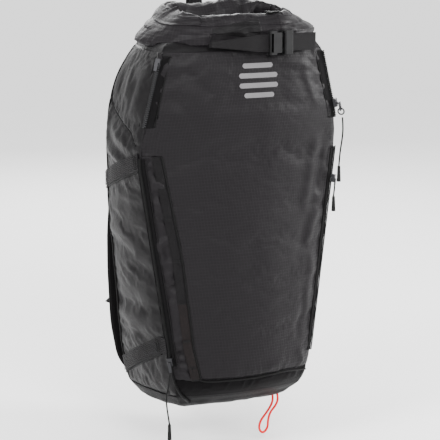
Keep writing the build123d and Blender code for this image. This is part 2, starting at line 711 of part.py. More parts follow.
# ---- hip fins, folded flat across the lumbar pad --------------------------------------------
HIP_WEBBING = 38.0
FIN_Y = (37.0, 49.0)
hip_middle = sum(HIP_HEIGHTS) / 2
for name, sign in SIDES.items():
    with BuildPart() as hip_fin:
        with BuildSketch(Plane.XZ.offset(-FIN_Y[0])):
            with Locations((sign * 60, up(hip_middle))):
                RectangleRounded(84, HIP_HEIGHTS[1] - HIP_HEIGHTS[0], 18)
        extrude(amount=FIN_Y[0] - FIN_Y[1])
        with Locations((sign * HIP_HINGE_X, HIP_HINGE_Y, up(hip_middle))):
            Cylinder(5, 60)
        with BuildSketch(Plane.XY.offset(up(hip_middle - 30))):
            with BuildLine():
                Polyline(
                    (sign * HIP_HINGE_X, HIP_HINGE_Y - 4), (sign * (HIP_HINGE_X + 5), HIP_HINGE_Y),
                    (sign * 102, FIN_Y[1]), (sign * 96, FIN_Y[1]), (sign * 96, FIN_Y[0]), close=True,
                )
            make_face()
        extrude(amount=60)
    finish(hip_fin, f"hip_fin_{name}")

hip_planes = {
    "left": Plane((-34, FIN_Y[1] + 4.4, up(hip_middle)), x_dir=(1, 0, 0)),
    "right": Plane((38, FIN_Y[1] + 4.4, up(hip_middle)), x_dir=(-1, 0, 0)),
}
with BuildPart(hip_planes["left"]) as hip_buckle_male:
    Box(22, 8, HIP_WEBBING + 8)
    fillet(hip_buckle_male.edges().filter_by(Axis.Z), 3)
    with Locations((-5, 0)):
        Box(4, 9, HIP_WEBBING + 1, mode=Mode.SUBTRACT)
    for edge in (1, -1):
        with Locations((17, 0, edge * 15)):
            Box(14, 4, 7)
finish(hip_buckle_male, "hip_buckle_male")

with BuildPart(hip_planes["right"]) as hip_buckle_female:
    Box(32, 8, HIP_WEBBING + 8)
    fillet(hip_buckle_female.edges().filter_by(Axis.Z), 3)
    with Locations((4, 0)):
        Box(26, 4.6, HIP_WEBBING, mode=Mode.SUBTRACT)
    with Locations((-12.4, 0)):
        Box(3.4, 9, HIP_WEBBING, mode=Mode.SUBTRACT)
finish(hip_buckle_female, "hip_buckle_female")

for name, (low, high) in {"left": (-96, -45.5), "right": (54.5, 96)}.items():
    with BuildPart() as hip_webbing:
        with Locations(((low + high) / 2, FIN_Y[1] + 0.9, up(hip_middle))):
            Box(high - low, 1.6, HIP_WEBBING)
    finish(hip_webbing, f"hip_webbing_{name}")

# ---- trigger ------------------------------------------------------------------------------
HANDLE_X = -STRAP_X
DOCK_THICK = 7.0
GRIP_Y = (STRAP_OUTER_Y + 21, STRAP_OUTER_Y + 37)
with BuildPart() as trigger_dock:
    with Locations((HANDLE_X, STRAP_OUTER_Y + 0.2 + DOCK_THICK / 2, up(HANDLE_HEIGHT))):
        Box(34, DOCK_THICK, 44)
    fillet(trigger_dock.edges().filter_by(Axis.Y), 8)
    with BuildSketch(Plane.XZ.offset(-STRAP_OUTER_Y - 2)):
        with Locations((HANDLE_X, up(HANDLE_HEIGHT))):
            Circle(HANDLE_STEM + 0.08)
    extrude(amount=-DOCK_THICK, mode=Mode.SUBTRACT)
finish(trigger_dock, "trigger_dock")

with BuildPart() as trigger_handle:
    with BuildSketch(Plane.XZ.offset(-GRIP_Y[0])):
        with Locations((HANDLE_X, up(HANDLE_HEIGHT))):
            SlotOverall(84, 22, rotation=90)
    extrude(amount=GRIP_Y[0] - GRIP_Y[1])
    fillet(trigger_handle.edges(), 5)
    with BuildSketch(Plane.XZ.offset(-STRAP_OUTER_Y - 2.4)):
        with Locations((HANDLE_X, up(HANDLE_HEIGHT))):
            Circle(HANDLE_STEM)
    extrude(amount=STRAP_OUTER_Y - GRIP_Y[0])
finish(trigger_handle, "trigger_handle")
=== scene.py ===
import math

import bmesh
import bpy
import numpy as np
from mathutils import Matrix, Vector


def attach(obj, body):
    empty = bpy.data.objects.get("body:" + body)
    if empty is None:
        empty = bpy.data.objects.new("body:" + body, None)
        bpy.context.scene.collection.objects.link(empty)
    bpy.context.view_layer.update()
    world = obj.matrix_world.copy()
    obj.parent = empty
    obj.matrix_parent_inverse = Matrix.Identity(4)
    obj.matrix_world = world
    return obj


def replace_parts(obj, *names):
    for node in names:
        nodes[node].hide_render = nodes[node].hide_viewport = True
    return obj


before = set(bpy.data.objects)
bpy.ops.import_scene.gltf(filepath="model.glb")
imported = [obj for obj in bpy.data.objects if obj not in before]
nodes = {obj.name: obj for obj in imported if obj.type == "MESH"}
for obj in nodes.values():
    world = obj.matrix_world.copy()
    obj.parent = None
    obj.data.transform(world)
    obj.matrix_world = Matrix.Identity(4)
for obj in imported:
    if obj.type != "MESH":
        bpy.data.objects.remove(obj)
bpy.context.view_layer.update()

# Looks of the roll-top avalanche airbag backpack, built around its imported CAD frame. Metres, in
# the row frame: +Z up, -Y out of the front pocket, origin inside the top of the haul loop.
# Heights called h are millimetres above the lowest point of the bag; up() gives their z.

MM = 0.001
LOOP_HEIGHT = 612.0


def up(height):
    """z in metres of a height in millimetres above the base of the bag."""
    return (np.asarray(height, float) - LOOP_HEIGHT) * MM


def metres(x, y, h):
    """Points in metres from x and y in mm and a height h."""
    return np.stack(np.broadcast_arrays(np.multiply(x, MM), np.multiply(y, MM), up(h)), -1)


# ---- materials ----------------------------------------------------------------------
class Shader:
    """A small builder for node materials."""

    def __init__(self, name, **surface):
        self.material = bpy.data.materials.new(name)
        self.material.use_nodes = True
        self.nodes = self.material.node_tree.nodes
        self.links = self.material.node_tree.links
        self.surface = self.nodes["Principled BSDF"]
        for socket, value in surface.items():
            self.surface.inputs[socket.replace("_", " ")].default_value = value
        self.where = self.node("ShaderNodeTexCoord").outputs

    def node(self, kind, inputs=(), **settings):
        made = self.nodes.new(kind)
        for key, value in settings.items():
            setattr(made, key, value)
        for socket, value in dict(inputs).items():
            if isinstance(value, bpy.types.NodeSocket):
                self.links.new(value, made.inputs[socket])
            else:
                made.inputs[socket].default_value = value
        return made

    def math(self, operation, first, second=0.0):
        return self.node("ShaderNodeMath", {0: first, 1: second}, operation=operation).outputs[0]

    def add(self, first, second):
        return self.math("ADD", first, second)

    def times(self, first, second):
        return self.math("MULTIPLY", first, second)

    def cloth_axes(self):
        """Both lengths of the cloth's own UV, in metres."""
        axes = self.node("ShaderNodeSeparateXYZ", {0: self.where["UV"]}).outputs
        return axes[0], axes[1]

    def wave(self, length, pitch):
        """Sine ribs, one for every pitch in mm of a length."""
        return self.math("SINE", self.times(length, 2 * math.pi / (pitch * MM)))

    def noise(self, scale, detail=2.0, **more):
        inputs = {"Vector": self.where["Object"], "Scale": scale, "Detail": detail, **more}
        return self.node("ShaderNodeTexNoise", inputs).outputs[0]

    def mix(self, factor, dark, light):
        """Blend of two colours or sockets."""
        ends = [end if isinstance(end, bpy.types.NodeSocket) else (*end, 1) for end in (dark, light)]
        return self.node("ShaderNodeMix", {0: factor, 6: ends[0], 7: ends[1]}, data_type="RGBA").outputs[2]

    def bump(self, strength, distance, height, **more):
        inputs = {"Strength": strength, "Distance": distance, "Height": height, **more}
        return self.node("ShaderNodeBump", inputs).outputs[0]

    def finish(self, colour, normal=None):
        """Feeds the last sockets and returns the material."""
        self.feed("Base Color", colour)
        if normal:
            self.feed("Normal", normal)
        return self.material

    def feed(self, socket, value):
        self.links.new(value, self.surface.inputs[socket])


def grey(value, warm=0.0):
    """A near neutral colour, slightly plum as the black cloth is."""
    return (value * (1 + warm), value * (0.84 + warm / 3), value)


def cloth_material(name, tone, weave=0.45, ripstop=0.0, rough=0.5, sheen=0.02, gloss=0.095):
    """Coated nylon: fine weave, optional ripstop squares, uneven dye and dust."""
    shader = Shader(name, Roughness=rough, Sheen_Weight=sheen, Sheen_Roughness=0.35, Specular_IOR_Level=gloss)
    patches = shader.noise(9.0, 5.0)
    dye = shader.add(shader.times(patches, 0.6), shader.times(shader.noise(700.0), 0.4))
    colour = shader.mix(dye, grey(tone * 0.75), grey(tone * 1.25))
    axes = shader.cloth_axes()
    height = shader.times(*(shader.wave(axis, weave * 2) for axis in axes))
    if ripstop:
        cells = [shader.math("FRACT", shader.times(axis, 1 / (ripstop * MM))) for axis in axes]
        lines = [shader.math("LESS_THAN", cell, 0.17) for cell in cells]
        grid = shader.math("MAXIMUM", *lines)
        ridge = shader.add(grid, shader.times(*lines))
        height = shader.add(shader.times(height, 0.35), shader.times(ridge, 1.3))
        colour = shader.mix(shader.times(grid, 0.7), colour, grey(tone * 2.0))
        shader.feed("Roughness", shader.math("SUBTRACT", rough, shader.times(grid, 0.1)))
    else:
        shader.feed("Roughness", shader.add(rough - 0.08, shader.times(patches, 0.16)))
    fine = shader.bump(0.35, 0.00012, height)
    crumple = shader.noise(55.0, 4.0, Roughness=0.6)
    return shader.finish(colour, shader.bump(0.35, 0.0012, crumple, Normal=fine))


def webbing_material(name, tone, pitch=1.6, rough=0.62, warm=0.0):
    """Ribbed webbing: ribs run along the strap (u across, v along)."""
    shader = Shader(name, Roughness=rough, Sheen_Weight=0.015, Sheen_Roughness=0.4, Specular_IOR_Level=0.09)
    across, along = shader.cloth_axes()
    rib = shader.wave(along, pitch)
    height = shader.add(rib, shader.times(shader.wave(across, 0.9), 0.45))
    factor = shader.add(shader.times(rib, 0.22), shader.noise(260.0, 3.0))
    colour = shader.mix(factor, grey(tone * 0.5, warm), grey(tone * 1.4, warm))
    return shader.finish(colour, shader.bump(0.6, 0.0003, height))


def plastic_material(name, colour, rough):
    """Moulded plastic with a spark-eroded grain and rubbed patches."""
    shader = Shader(name, Roughness=rough, Specular_IOR_Level=0.12)
    smear = shader.noise(60.0, 3.0)
    shader.feed("Roughness", shader.add(rough - 0.1, shader.times(smear, 0.2)))
    lighter = tuple(c * 1.35 + 0.004 for c in colour)
    return shader.finish(shader.mix(smear, colour, lighter), shader.bump(0.25, 0.0001, shader.noise(900.0)))


def metal_material(name, colour, rough=0.35):
    shader = Shader(name, Roughness=rough, Metallic=1.0)
    brush = shader.noise(400.0, 3.0)
    shader.feed("Roughness", shader.add(rough - 0.1, shader.times(brush, 0.2)))
    return shader.finish(shader.mix(brush, tuple(c * 0.75 for c in colour), colour))


def braid_material(name, colour, dark):
    """Braided cord: strands cross it on the slant."""
    shader = Shader(name, Roughness=0.6, Sheen_Weight=0.01, Sheen_Roughness=0.4, Specular_IOR_Level=0.1)
    inputs = {"Vector": shader.where["Object"], "Scale": 1 / (2.2 * MM) / 6.28, "Distortion": 1.5}
    wave = shader.node("ShaderNodeTexWave", inputs, bands_direction="DIAGONAL").outputs[1]
    factor = shader.add(shader.times(wave, 0.6), shader.times(shader.noise(900.0), 0.4))
    return shader.finish(shader.mix(factor, dark, colour), shader.bump(0.5, 0.0003, factor))


def mesh_material(name, tone):
    """3D spacer mesh: rows of small round holes, painted darker as painted shade inside them."""
    shader = Shader(name, Roughness=0.8, Sheen_Weight=0.015, Sheen_Roughness=0.5, Specular_IOR_Level=0.1)
    inputs = {"Vector": shader.where["Object"], "Scale": 1 / (2.6 * MM), "Randomness": 0.15}
    dots = shader.node("ShaderNodeTexVoronoi", inputs).outputs[0]
    painted_hole_shade = shader.math("LESS_THAN", dots, 0.33)
    return shader.finish(shader.mix(painted_hole_shade, grey(tone), grey(tone * 0.25)), shader.bump(0.7, 0.0006, dots))



RIPSTOP_PITCH = 4.6
RIPSTOP = cloth_material("ripstop_nylon", 0.0036, ripstop=RIPSTOP_PITCH, rough=0.5)
ROLL_CLOTH = cloth_material("rolled_nylon", 0.0044, ripstop=RIPSTOP_PITCH, rough=0.5)
NYLON = cloth_material("coated_nylon", 0.0022, rough=0.46)
HEAVY = cloth_material("heavy_nylon", 0.0006, weave=0.8, rough=0.6)
GUSSET = cloth_material("stretch_gusset", 0.0048, weave=0.6, rough=0.5)
BASE_CLOTH = cloth_material("base_nylon", 0.0014, weave=0.7, rough=0.5, sheen=0.0, gloss=0.035)
LINING = cloth_material("lining", 0.02, rough=0.6)
WEBBING = webbing_material("black_webbing", 0.0026)
WORN_WEBBING = webbing_material("red_tinged_webbing", 0.0034, warm=0.45)
RIB_PITCH = 2.7
RIBBED = webbing_material("ribbed_webbing", 0.0030, pitch=RIB_PITCH)
TAPE = webbing_material("zip_tape", 0.0016, pitch=0.8, rough=0.8)
BLACK_PLASTIC = plastic_material("black_acetal", (0.0016, 0.0016, 0.0018), rough=0.45)
# Lighter copy of the zip teeth plastic, a painted highlight: only the left shoulder zip uses it.
TEETH = plastic_material("zip_teeth", (0.016, 0.016, 0.017), rough=0.5)
DARK_TEETH = plastic_material("black_zip_teeth", (0.002, 0.002, 0.002), rough=0.6)
RUBBER = plastic_material("black_rubber", (0.001, 0.001, 0.001), rough=0.6)
RED_PLASTIC = plastic_material("red_grip", (0.42, 0.006, 0.008), rough=0.4)
ZINC = metal_material("black_zinc", (0.03, 0.03, 0.032), rough=0.45)
STEEL = metal_material("steel", (0.55, 0.56, 0.57))
ALUMINIUM = metal_material("aluminium", (0.72, 0.73, 0.74))
BLACK_BRAID = braid_material("black_cord", (0.003, 0.003, 0.0032), (0.001, 0.001, 0.001))
RED_BRAID = braid_material("red_cord", (0.62, 0.006, 0.010), (0.40, 0.002, 0.004))
MESH = mesh_material("spacer_mesh", 0.0026)
ORANGE = cloth_material("airbag_nylon", 0.2, rough=0.5)
PRINT = plastic_material("grey_print", (0.085, 0.082, 0.085), rough=0.8)
THREAD = plastic_material("thread", (0.0055, 0.0052, 0.0055), rough=0.9)

# ---- mesh helpers -------------------------------------------------------------------
def new_object(name, points, faces, material, uv=None, smooth=True):
    """A mesh object from points in metres; uv is one pair per point, in metres of cloth."""
    mesh = bpy.data.meshes.new(name)
    mesh.from_pydata([tuple(p) for p in points], [], [tuple(f) for f in faces])
    if uv is not None:
        layer = mesh.uv_layers.new(name="UVMap")
        corners = np.empty(len(mesh.loops), np.int32)
        mesh.loops.foreach_get("vertex_index", corners)
        layer.data.foreach_set("uv", np.asarray(uv, np.float32)[corners].ravel())
    mesh.shade_smooth() if smooth else mesh.shade_flat()
    mesh.materials.append(material)
    made = bpy.data.objects.new(name, mesh)
    bpy.context.scene.collection.objects.link(made)
    return made


def outward(made):
    """Turns every face of a closed mesh outwards."""
    work = bmesh.new()
    work.from_mesh(made.data)
    bmesh.ops.recalc_face_normals(work, faces=work.faces)
    work.to_mesh(made.data)
    work.free()
    return made


def place(made, replaced=(), body="pack"):
    """Gives a finished piece its body and hides the CAD nodes that it stands for."""
    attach(made, body)
    if replaced:
        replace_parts(made, *replaced)
    return made


BAG_AXIS = np.array([0, -0.09])


def unit(vectors):
    return vectors / (np.linalg.norm(vectors, axis=-1, keepdims=True) + 1e-12)


def lengths_along(points, axis=0):
    """Arc length from the start of a line, or from one edge of a grid."""
    steps = np.diff(points, axis=axis, prepend=np.take(points, [0], axis))
    return np.linalg.norm(steps, axis=-1).cumsum(axis)


def grid_normals(points):
    """Unit normals of a grid of points, pointing away from the bag's middle line."""
    normal = unit(np.cross(np.gradient(points, axis=0), np.gradient(points, axis=1)))
    facing = (normal[..., :2] * (points[..., :2] - BAG_AXIS)).sum(-1).mean()
    return normal if facing > 0 else -normal


def cloth_uv(points):
    """Arc lengths along both directions of a grid."""
    return np.stack([lengths_along(points, 0), lengths_along(points, 1)], -1)


def grid_faces(columns, rows, mask=None, wrap=False):
    """Quads of a grid whose vertex number is column * rows + row."""
    i, j = np.meshgrid(np.arange(columns if wrap else columns - 1), np.arange(rows - 1), indexing="ij")
    near, far = i * rows, ((i + 1) % columns) * rows
    quads = np.stack([near + j, far + j, far + j + 1, near + j + 1], -1)
    return quads.reshape(-1, 4) if mask is None else quads[mask]


def tube_faces(rings, sides):
    """Quads between closed rings of points, with a cap on each end."""
    last = (rings - 1) * sides
    near_side = np.arange(last).reshape(-1, sides)
    next_side = np.roll(near_side, -1, axis=1)
    quads = np.stack([near_side, next_side, next_side + sides, near_side + sides], -1).reshape(-1, 4)
    return quads.tolist() + [tuple(range(sides))[::-1], tuple(range(last, last + sides))]


def shell(name, points, thick, material, mask=None, out=0.0):
    """Cloth of a thickness in mm: the grid is its outer face, moved out by out mm."""
    normal = grid_normals(points)
    offset = np.broadcast_to(out, points.shape[:2])
    outer = points + normal * offset[..., None] * MM
    inner = outer - normal * thick * MM
    quads = grid_faces(*points.shape[:2], mask)
    count = points.shape[0] * points.shape[1]
    edges = {}
    for quad in quads.tolist():
        for a, b in zip(quad, quad[1:] + quad[:1]):
            if (b, a) in edges:
                del edges[(b, a)]
            else:
                edges[(a, b)] = 1
    rim = [(b, a, a + count, b + count) for a, b in edges]
    faces = np.concatenate([quads, (quads + count)[:, ::-1], np.array(rim).reshape(-1, 4)])
    used, faces = np.unique(faces, return_inverse=True)
    flat = np.concatenate([outer.reshape(-1, 3), inner.reshape(-1, 3)])[used]
    uv = np.tile(cloth_uv(points).reshape(-1, 2), (2, 1))[used]
    return outward(new_object(name, flat, faces.reshape(-1, 4), material, uv))


def smooth_path(points, steps=8):
    """Catmull-Rom line through given points."""
    points = np.asarray(points, float)
    ends = np.concatenate([[2 * points[0] - points[1]], points, [2 * points[-1] - points[-2]]])
    line = []
    for a, b, c, d in zip(ends, ends[1:], ends[2:], ends[3:]):
        for t in np.linspace(0, 1, steps, endpoint=False):
            line.append(0.5 * (2 * b + (c - a) * t + (2 * a - 5 * b + 4 * c - d) * t**2
                               + (3 * b - a - 3 * c + d) * t**3))
    return np.array(line + [points[-1]])


def sweep(name, path, radius, material, sides=8):
    """Round tube along a line, all in metres."""
    path = np.asarray(path, float)
    ahead = unit(np.gradient(path, axis=0))
    side = unit(np.cross(ahead, (0.31, 0.11, 0.94)))
    other = np.cross(side, ahead)
    turn = np.linspace(0, 2 * math.pi, sides, endpoint=False)
    ring = side[:, None] * np.cos(turn)[:, None] + other[:, None] * np.sin(turn)[:, None]
    points = (path[:, None] + ring * radius).reshape(-1, 3)
    uv = np.stack([np.tile(turn * 0.0015, len(path)), np.repeat(lengths_along(path), sides)], 1)
    return outward(new_object(name, points, tube_faces(len(path), sides), material, uv))


def pills(name, centres, forward, normal, size, material):
    """Many small chamfered blocks as one mesh, such as stitches or zip teeth. size in metres."""
    centres, forward, normal = (np.asarray(a, float) for a in (centres, forward, normal))
    forward = np.broadcast_to(forward, centres.shape) / np.linalg.norm(forward, axis=-1, keepdims=True)
    normal = np.broadcast_to(normal, centres.shape)
    side = unit(np.cross(forward, normal))
    normal = np.cross(side, forward)
    corner = np.array([(-1, -1), (1, -1), (1, 1), (-1, 1)]) / 2
    layers = [(-0.5, 1.0), (0.15, 1.0), (0.5, 0.62)]
    points = []
    for lift, share in layers:
        for along, over in corner * share:
            offset = forward * along * size[0] + side * over * size[1] + normal * lift * size[2]
            points.append(centres + offset)
    points = np.stack(points, 1).reshape(-1, 3)
    block = [(3, 2, 1, 0), (8, 9, 10, 11)]
    for level in (0, 4):
        for k in range(4):
            block.append((level + k, level + (k + 1) % 4, level + 4 + (k + 1) % 4, level + 4 + k))
    faces = (np.array(block)[None] + 12 * np.arange(len(centres))[:, None, None]).reshape(-1, 4)
    return outward(new_object(name, points, faces, material, points[:, :2], smooth=False))


def spaced(line, pitch):
    """Points along a line at an even pitch in metres, and the direction at each."""
    line = np.asarray(line, float)
    along = lengths_along(line)
    at = np.arange(pitch / 2, along[-1], pitch)
    points = np.stack([np.interp(at, along, line[:, k]) for k in range(3)], 1)
    ahead = np.stack([np.interp(at, along, np.gradient(line[:, k])) for k in range(3)], 1)
    return points, unit(ahead)


def webbing(name, route, width_way, width, thick, material=WEBBING, steps=8, wave=0.0, taper=1.0):
    """Flat strap along given points in metres, its width along width_way, edges rounded."""
    line = smooth_path(route, steps)
    ahead = unit(np.gradient(line, axis=0))
    wide = np.broadcast_to(np.asarray(width_way, float), line.shape)
    wide = unit(wide - ahead * (wide * ahead).sum(1, keepdims=True))
    face = np.cross(ahead, wide)
    along = np.linspace(0, 1, len(line))
    line = line + face * (np.sin(along * 9) * wave * np.sin(along * math.pi))[:, None]
    share = np.array([-1, -0.985, -0.94, -0.6, -0.2, 0.2, 0.6, 0.94, 0.985, 1])
    lift = np.array([0, 0.7, 1, 1, 0.93, 0.93, 1, 1, 0.7, 0])
    section = np.concatenate([np.stack([share, lift], 1), np.stack([share, -lift], 1)[-2:0:-1]])
    narrowing = np.interp(along, [0, 0.35, 1], [1, 1, taper])[:, None, None]
    points = (line[:, None] + wide[:, None] * section[None, :, :1] * narrowing * width / 2
              + face[:, None] * section[None, :, 1:] * thick / 2)
    count = len(section)
    uv = np.stack([np.tile(section[:, 0] * width / 2, len(line)), np.repeat(lengths_along(line), count)], 1)
    return outward(new_object(name, points.reshape(-1, 3), tube_faces(len(line), count), material, uv))


def piping(name, line, radius, material=HEAVY):
    """Round binding or bead of a radius in mm along a line in metres."""
    return place(sweep(name, line, radius * MM, material))


# ---- cloth relief -------------------------------------------------------------------
def noise(a, b, seed):
    """Smooth random field, about -1 to 1, one cell a unit of a and b."""
    table = np.random.default_rng(seed).uniform(-1, 1, (64, 64))
    i, j = np.floor(a).astype(int), np.floor(b).astype(int)
    s, t = a - i, b - j
    s, t = s * s * (3 - 2 * s), t * t * (3 - 2 * t)
    corner = lambda m, n: table[(i + m) % 64, (j + n) % 64]
    return (corner(0, 0) * (1 - s) * (1 - t) + corner(1, 0) * s * (1 - t)
            + corner(0, 1) * (1 - s) * t + corner(1, 1) * s * t)


def turned(a, b, degrees):
    """Axes turned in the cloth, to lay creases along a direction."""
    c, s = math.cos(math.radians(degrees)), math.sin(math.radians(degrees))
    return a * c + b * s, b * c - a * s


def creases(a, b, long, short, degrees, seed):
    """Sharp-ridged creases, long along the direction and short across it, 0 to 1."""
    p, q = turned(a, b, degrees)
    field = noise(p / long + 0.4 * noise(p / short, q / short, seed + 7), q / short, seed)
    return (1 - np.abs(field)) ** 3


def folds(a, b, lines):
    """Ridges (+) and valleys (-): each line is a0, b0, a1, b1, width, height, all in mm."""
    total = np.zeros_like(a)
    for a0, b0, a1, b1, width, height in lines:
        run = np.array([a1 - a0, b1 - b0])
        size = np.hypot(*run)
        along = ((a - a0) * run[0] + (b - b0) * run[1]) / size**2
        off = ((a - a0) * run[1] - (b - b0) * run[0]) / size
        off = off + 0.35 * width * noise(along * 3, b / 40, int(abs(a0 * 7 + b0)) + 3)
        ends = np.clip(1 - np.abs(2 * np.clip(along, -0.5, 1.5) - 1) ** 4, 0, 1)
        inside = (along > 0) & (along < 1)
        total = total + inside * height * ends * np.exp(-((off / width) ** 2))
    return total


SETTLE_FRAMES = 16
SETTLE_STEP = 2


def settle(points, pinned, slack, pressure, cap):
    """Lets a panel's cloth find its own folds between its pinned seams, at most cap mm away."""
    columns, levels = points.shape[:2]
    i = np.unique(np.append(np.arange(0, columns, SETTLE_STEP), columns - 1))
    j = np.unique(np.append(np.arange(0, levels, SETTLE_STEP), levels - 1))
    coarse = points[np.ix_(i, j)]
    jitter = np.random.default_rng(7).uniform(-1, 1, coarse.shape[:2]) * 0.15 * MM
    start = coarse + grid_normals(coarse) * jitter[..., None]
    quads = grid_faces(len(i), len(j))
    made = outward(new_object("settling", start.reshape(-1, 3), quads, HEAVY))
    group = made.vertex_groups.new(name="pinned")
    group.add(np.flatnonzero(pinned[np.ix_(i, j)].ravel()).tolist(), 1.0, "REPLACE")
    cloth = made.modifiers.new("cloth", "CLOTH")
    settings = cloth.settings
    settings.quality = 6
    settings.mass = 0.15
    settings.tension_stiffness = settings.compression_stiffness = 12
    settings.shear_stiffness = 4
    settings.bending_stiffness = 0.12
    settings.air_damping = 2
    settings.shrink_min = -slack
    settings.use_pressure = True
    settings.uniform_pressure_force = pressure
    settings.effector_weights.gravity = 0
    settings.vertex_group_mass = "pinned"
    cloth.collision_settings.use_collision = False
    cloth.point_cache.frame_end = SETTLE_FRAMES
    scene = bpy.context.scene
    for number in range(1, SETTLE_FRAMES + 1):
        scene.frame_set(number)
    moved = made.evaluated_get(bpy.context.evaluated_depsgraph_get()).to_mesh()
    found = np.empty(len(moved.vertices) * 3)
    moved.vertices.foreach_get("co", found)
    shift = found.reshape(coarse.shape) - coarse
    bpy.data.objects.remove(made)
    scene.frame_set(1)
    size = np.linalg.norm(shift, axis=-1, keepdims=True)
    shift = shift * np.minimum(1, cap * MM / (size + 1e-9))
    full = np.empty(points.shape)
    for axis in range(3):
        along = np.stack([np.interp(np.arange(levels), j, line) for line in shift[..., axis]])
        full[..., axis] = np.stack([np.interp(np.arange(columns), i, line) for line in along.T], 1)
    return points + full


def border(shape, *more):
    """True on the outer edge of a grid and wherever any of the other masks is."""
    mask = np.zeros(shape, bool)
    mask[[0, -1]] = True
    mask[:, [0, -1]] = True
    for other in more:
        mask |= other
    return mask


def near(value, at, width):
    """Bell of width mm around at."""
    return np.exp(-(((value - at) / width) ** 2))


# ---- the bag's form -----------------------------------------------------------------
# Height, back half width, seam half width, seam depth, front crown, rise towards the front.
STATIONS = np.array([
    (0, 84, 72, 124, 8, 5.2),
    (10, 106, 93, 148, 16, 4.8),
    (30, 120, 102, 161, 23, 3.5),
    (60, 127, 108, 169, 27, 0),
    (90, 133, 113, 171, 30, 0),
    (160, 139, 123, 168.3, 33, 0),
    (240, 145, 134.5, 165.2, 35, 0),
    (320, 152, 146, 162.1, 35, 0),
    (400, 153, 157.5, 159, 33, 0),
    (440, 152, 153, 168, 31, 0),
    (490, 142, 140.8, 169.4, 26, 0),
    (520, 127, 133.4, 170.3, 20, 0),
    (546, 105, 127, 171, 14, 0),
], float)
BACK_CORNER = 26.0
SIDE_BULGE = 6.0
BODY_TOP = 546.0
SIDES = {"left": -1, "right": 1}


def station(h, column):
    """One station value at a height, with the corners between the stations eased."""
    h = np.asarray(h, float)
    reach = np.clip(np.minimum(h, BODY_TOP - h), 0, 18)
    places = [h + share * reach for share in (-1, -0.5, 0, 0.5, 1)]
    return np.mean([np.interp(at, STATIONS[:, 0], STATIONS[:, column]) for at in places], axis=0)


def leaned(x, y, h):
    """A point of the section at height h, which rises towards the front at the base."""
    rise = np.radians(station(h, 5))
    x, y, h = np.broadcast_arrays(x, y, h)
    return np.stack([x * MM, y * np.cos(rise) * MM, up(h) - y * np.sin(rise) * MM], -1)


def front_point(x, h):
    edge, deep, crown = station(h, 2), station(h, 3), station(h, 4)
    radius = (edge**2 + crown**2) / (2 * crown)
    return leaned(x, radius - deep - crown - np.sqrt(radius**2 - np.clip(x, -edge, edge) ** 2), h)


def side_point(y, h, sign):
    """Point of a side at a depth y; past the corner it runs round onto the back."""
    half, edge, deep = station(h, 1), station(h, 2), station(h, 3)
    t = np.clip((-y - BACK_CORNER) / (deep - BACK_CORNER), 0, 1)
    past = np.clip(y + BACK_CORNER, 0, BACK_CORNER * 0.98)
    x = half + t * (edge - half) + 4 * SIDE_BULGE * t * (1 - t)
    x = x + np.sqrt(BACK_CORNER**2 - past**2) - BACK_CORNER
    return leaned(sign * x, past - BACK_CORNER - t * (deep - BACK_CORNER), h)


def back_point(q, h):
    """Point of the back, q mm either side of the middle, round both corners."""
    half = station(h, 1)
    flat = half - BACK_CORNER
    angle = np.clip((np.abs(q) - flat) / BACK_CORNER, 0, math.pi / 2)
    x = np.minimum(np.abs(q), flat) + BACK_CORNER * np.sin(angle)
    return leaned(np.sign(q) * x, -BACK_CORNER + BACK_CORNER * np.cos(angle), h)


def seam_point(h, sign, out=0.0):
    return leaned(sign * (station(h, 2) + 0.7 * out), -station(h, 3) - 0.7 * out, h)


def rows(low, high, pitch):
    return np.linspace(low, high, int(round((high - low) / pitch)) + 1)


# ---- front pocket and gusset --------------------------------------------------------
DAISY_LINE = np.array([(66, -75), (112, -87), (249, -103), (398, -130), (402, -132)], float)
GUSSET_TOP = 398.0
FRONT_SEAM = 66.0
CLOTH = 2.2
MARK_CENTRE = (15.0, 503.0)


def daisy_x(h):
    return np.interp(h, DAISY_LINE[:, 0], DAISY_LINE[:, 1])


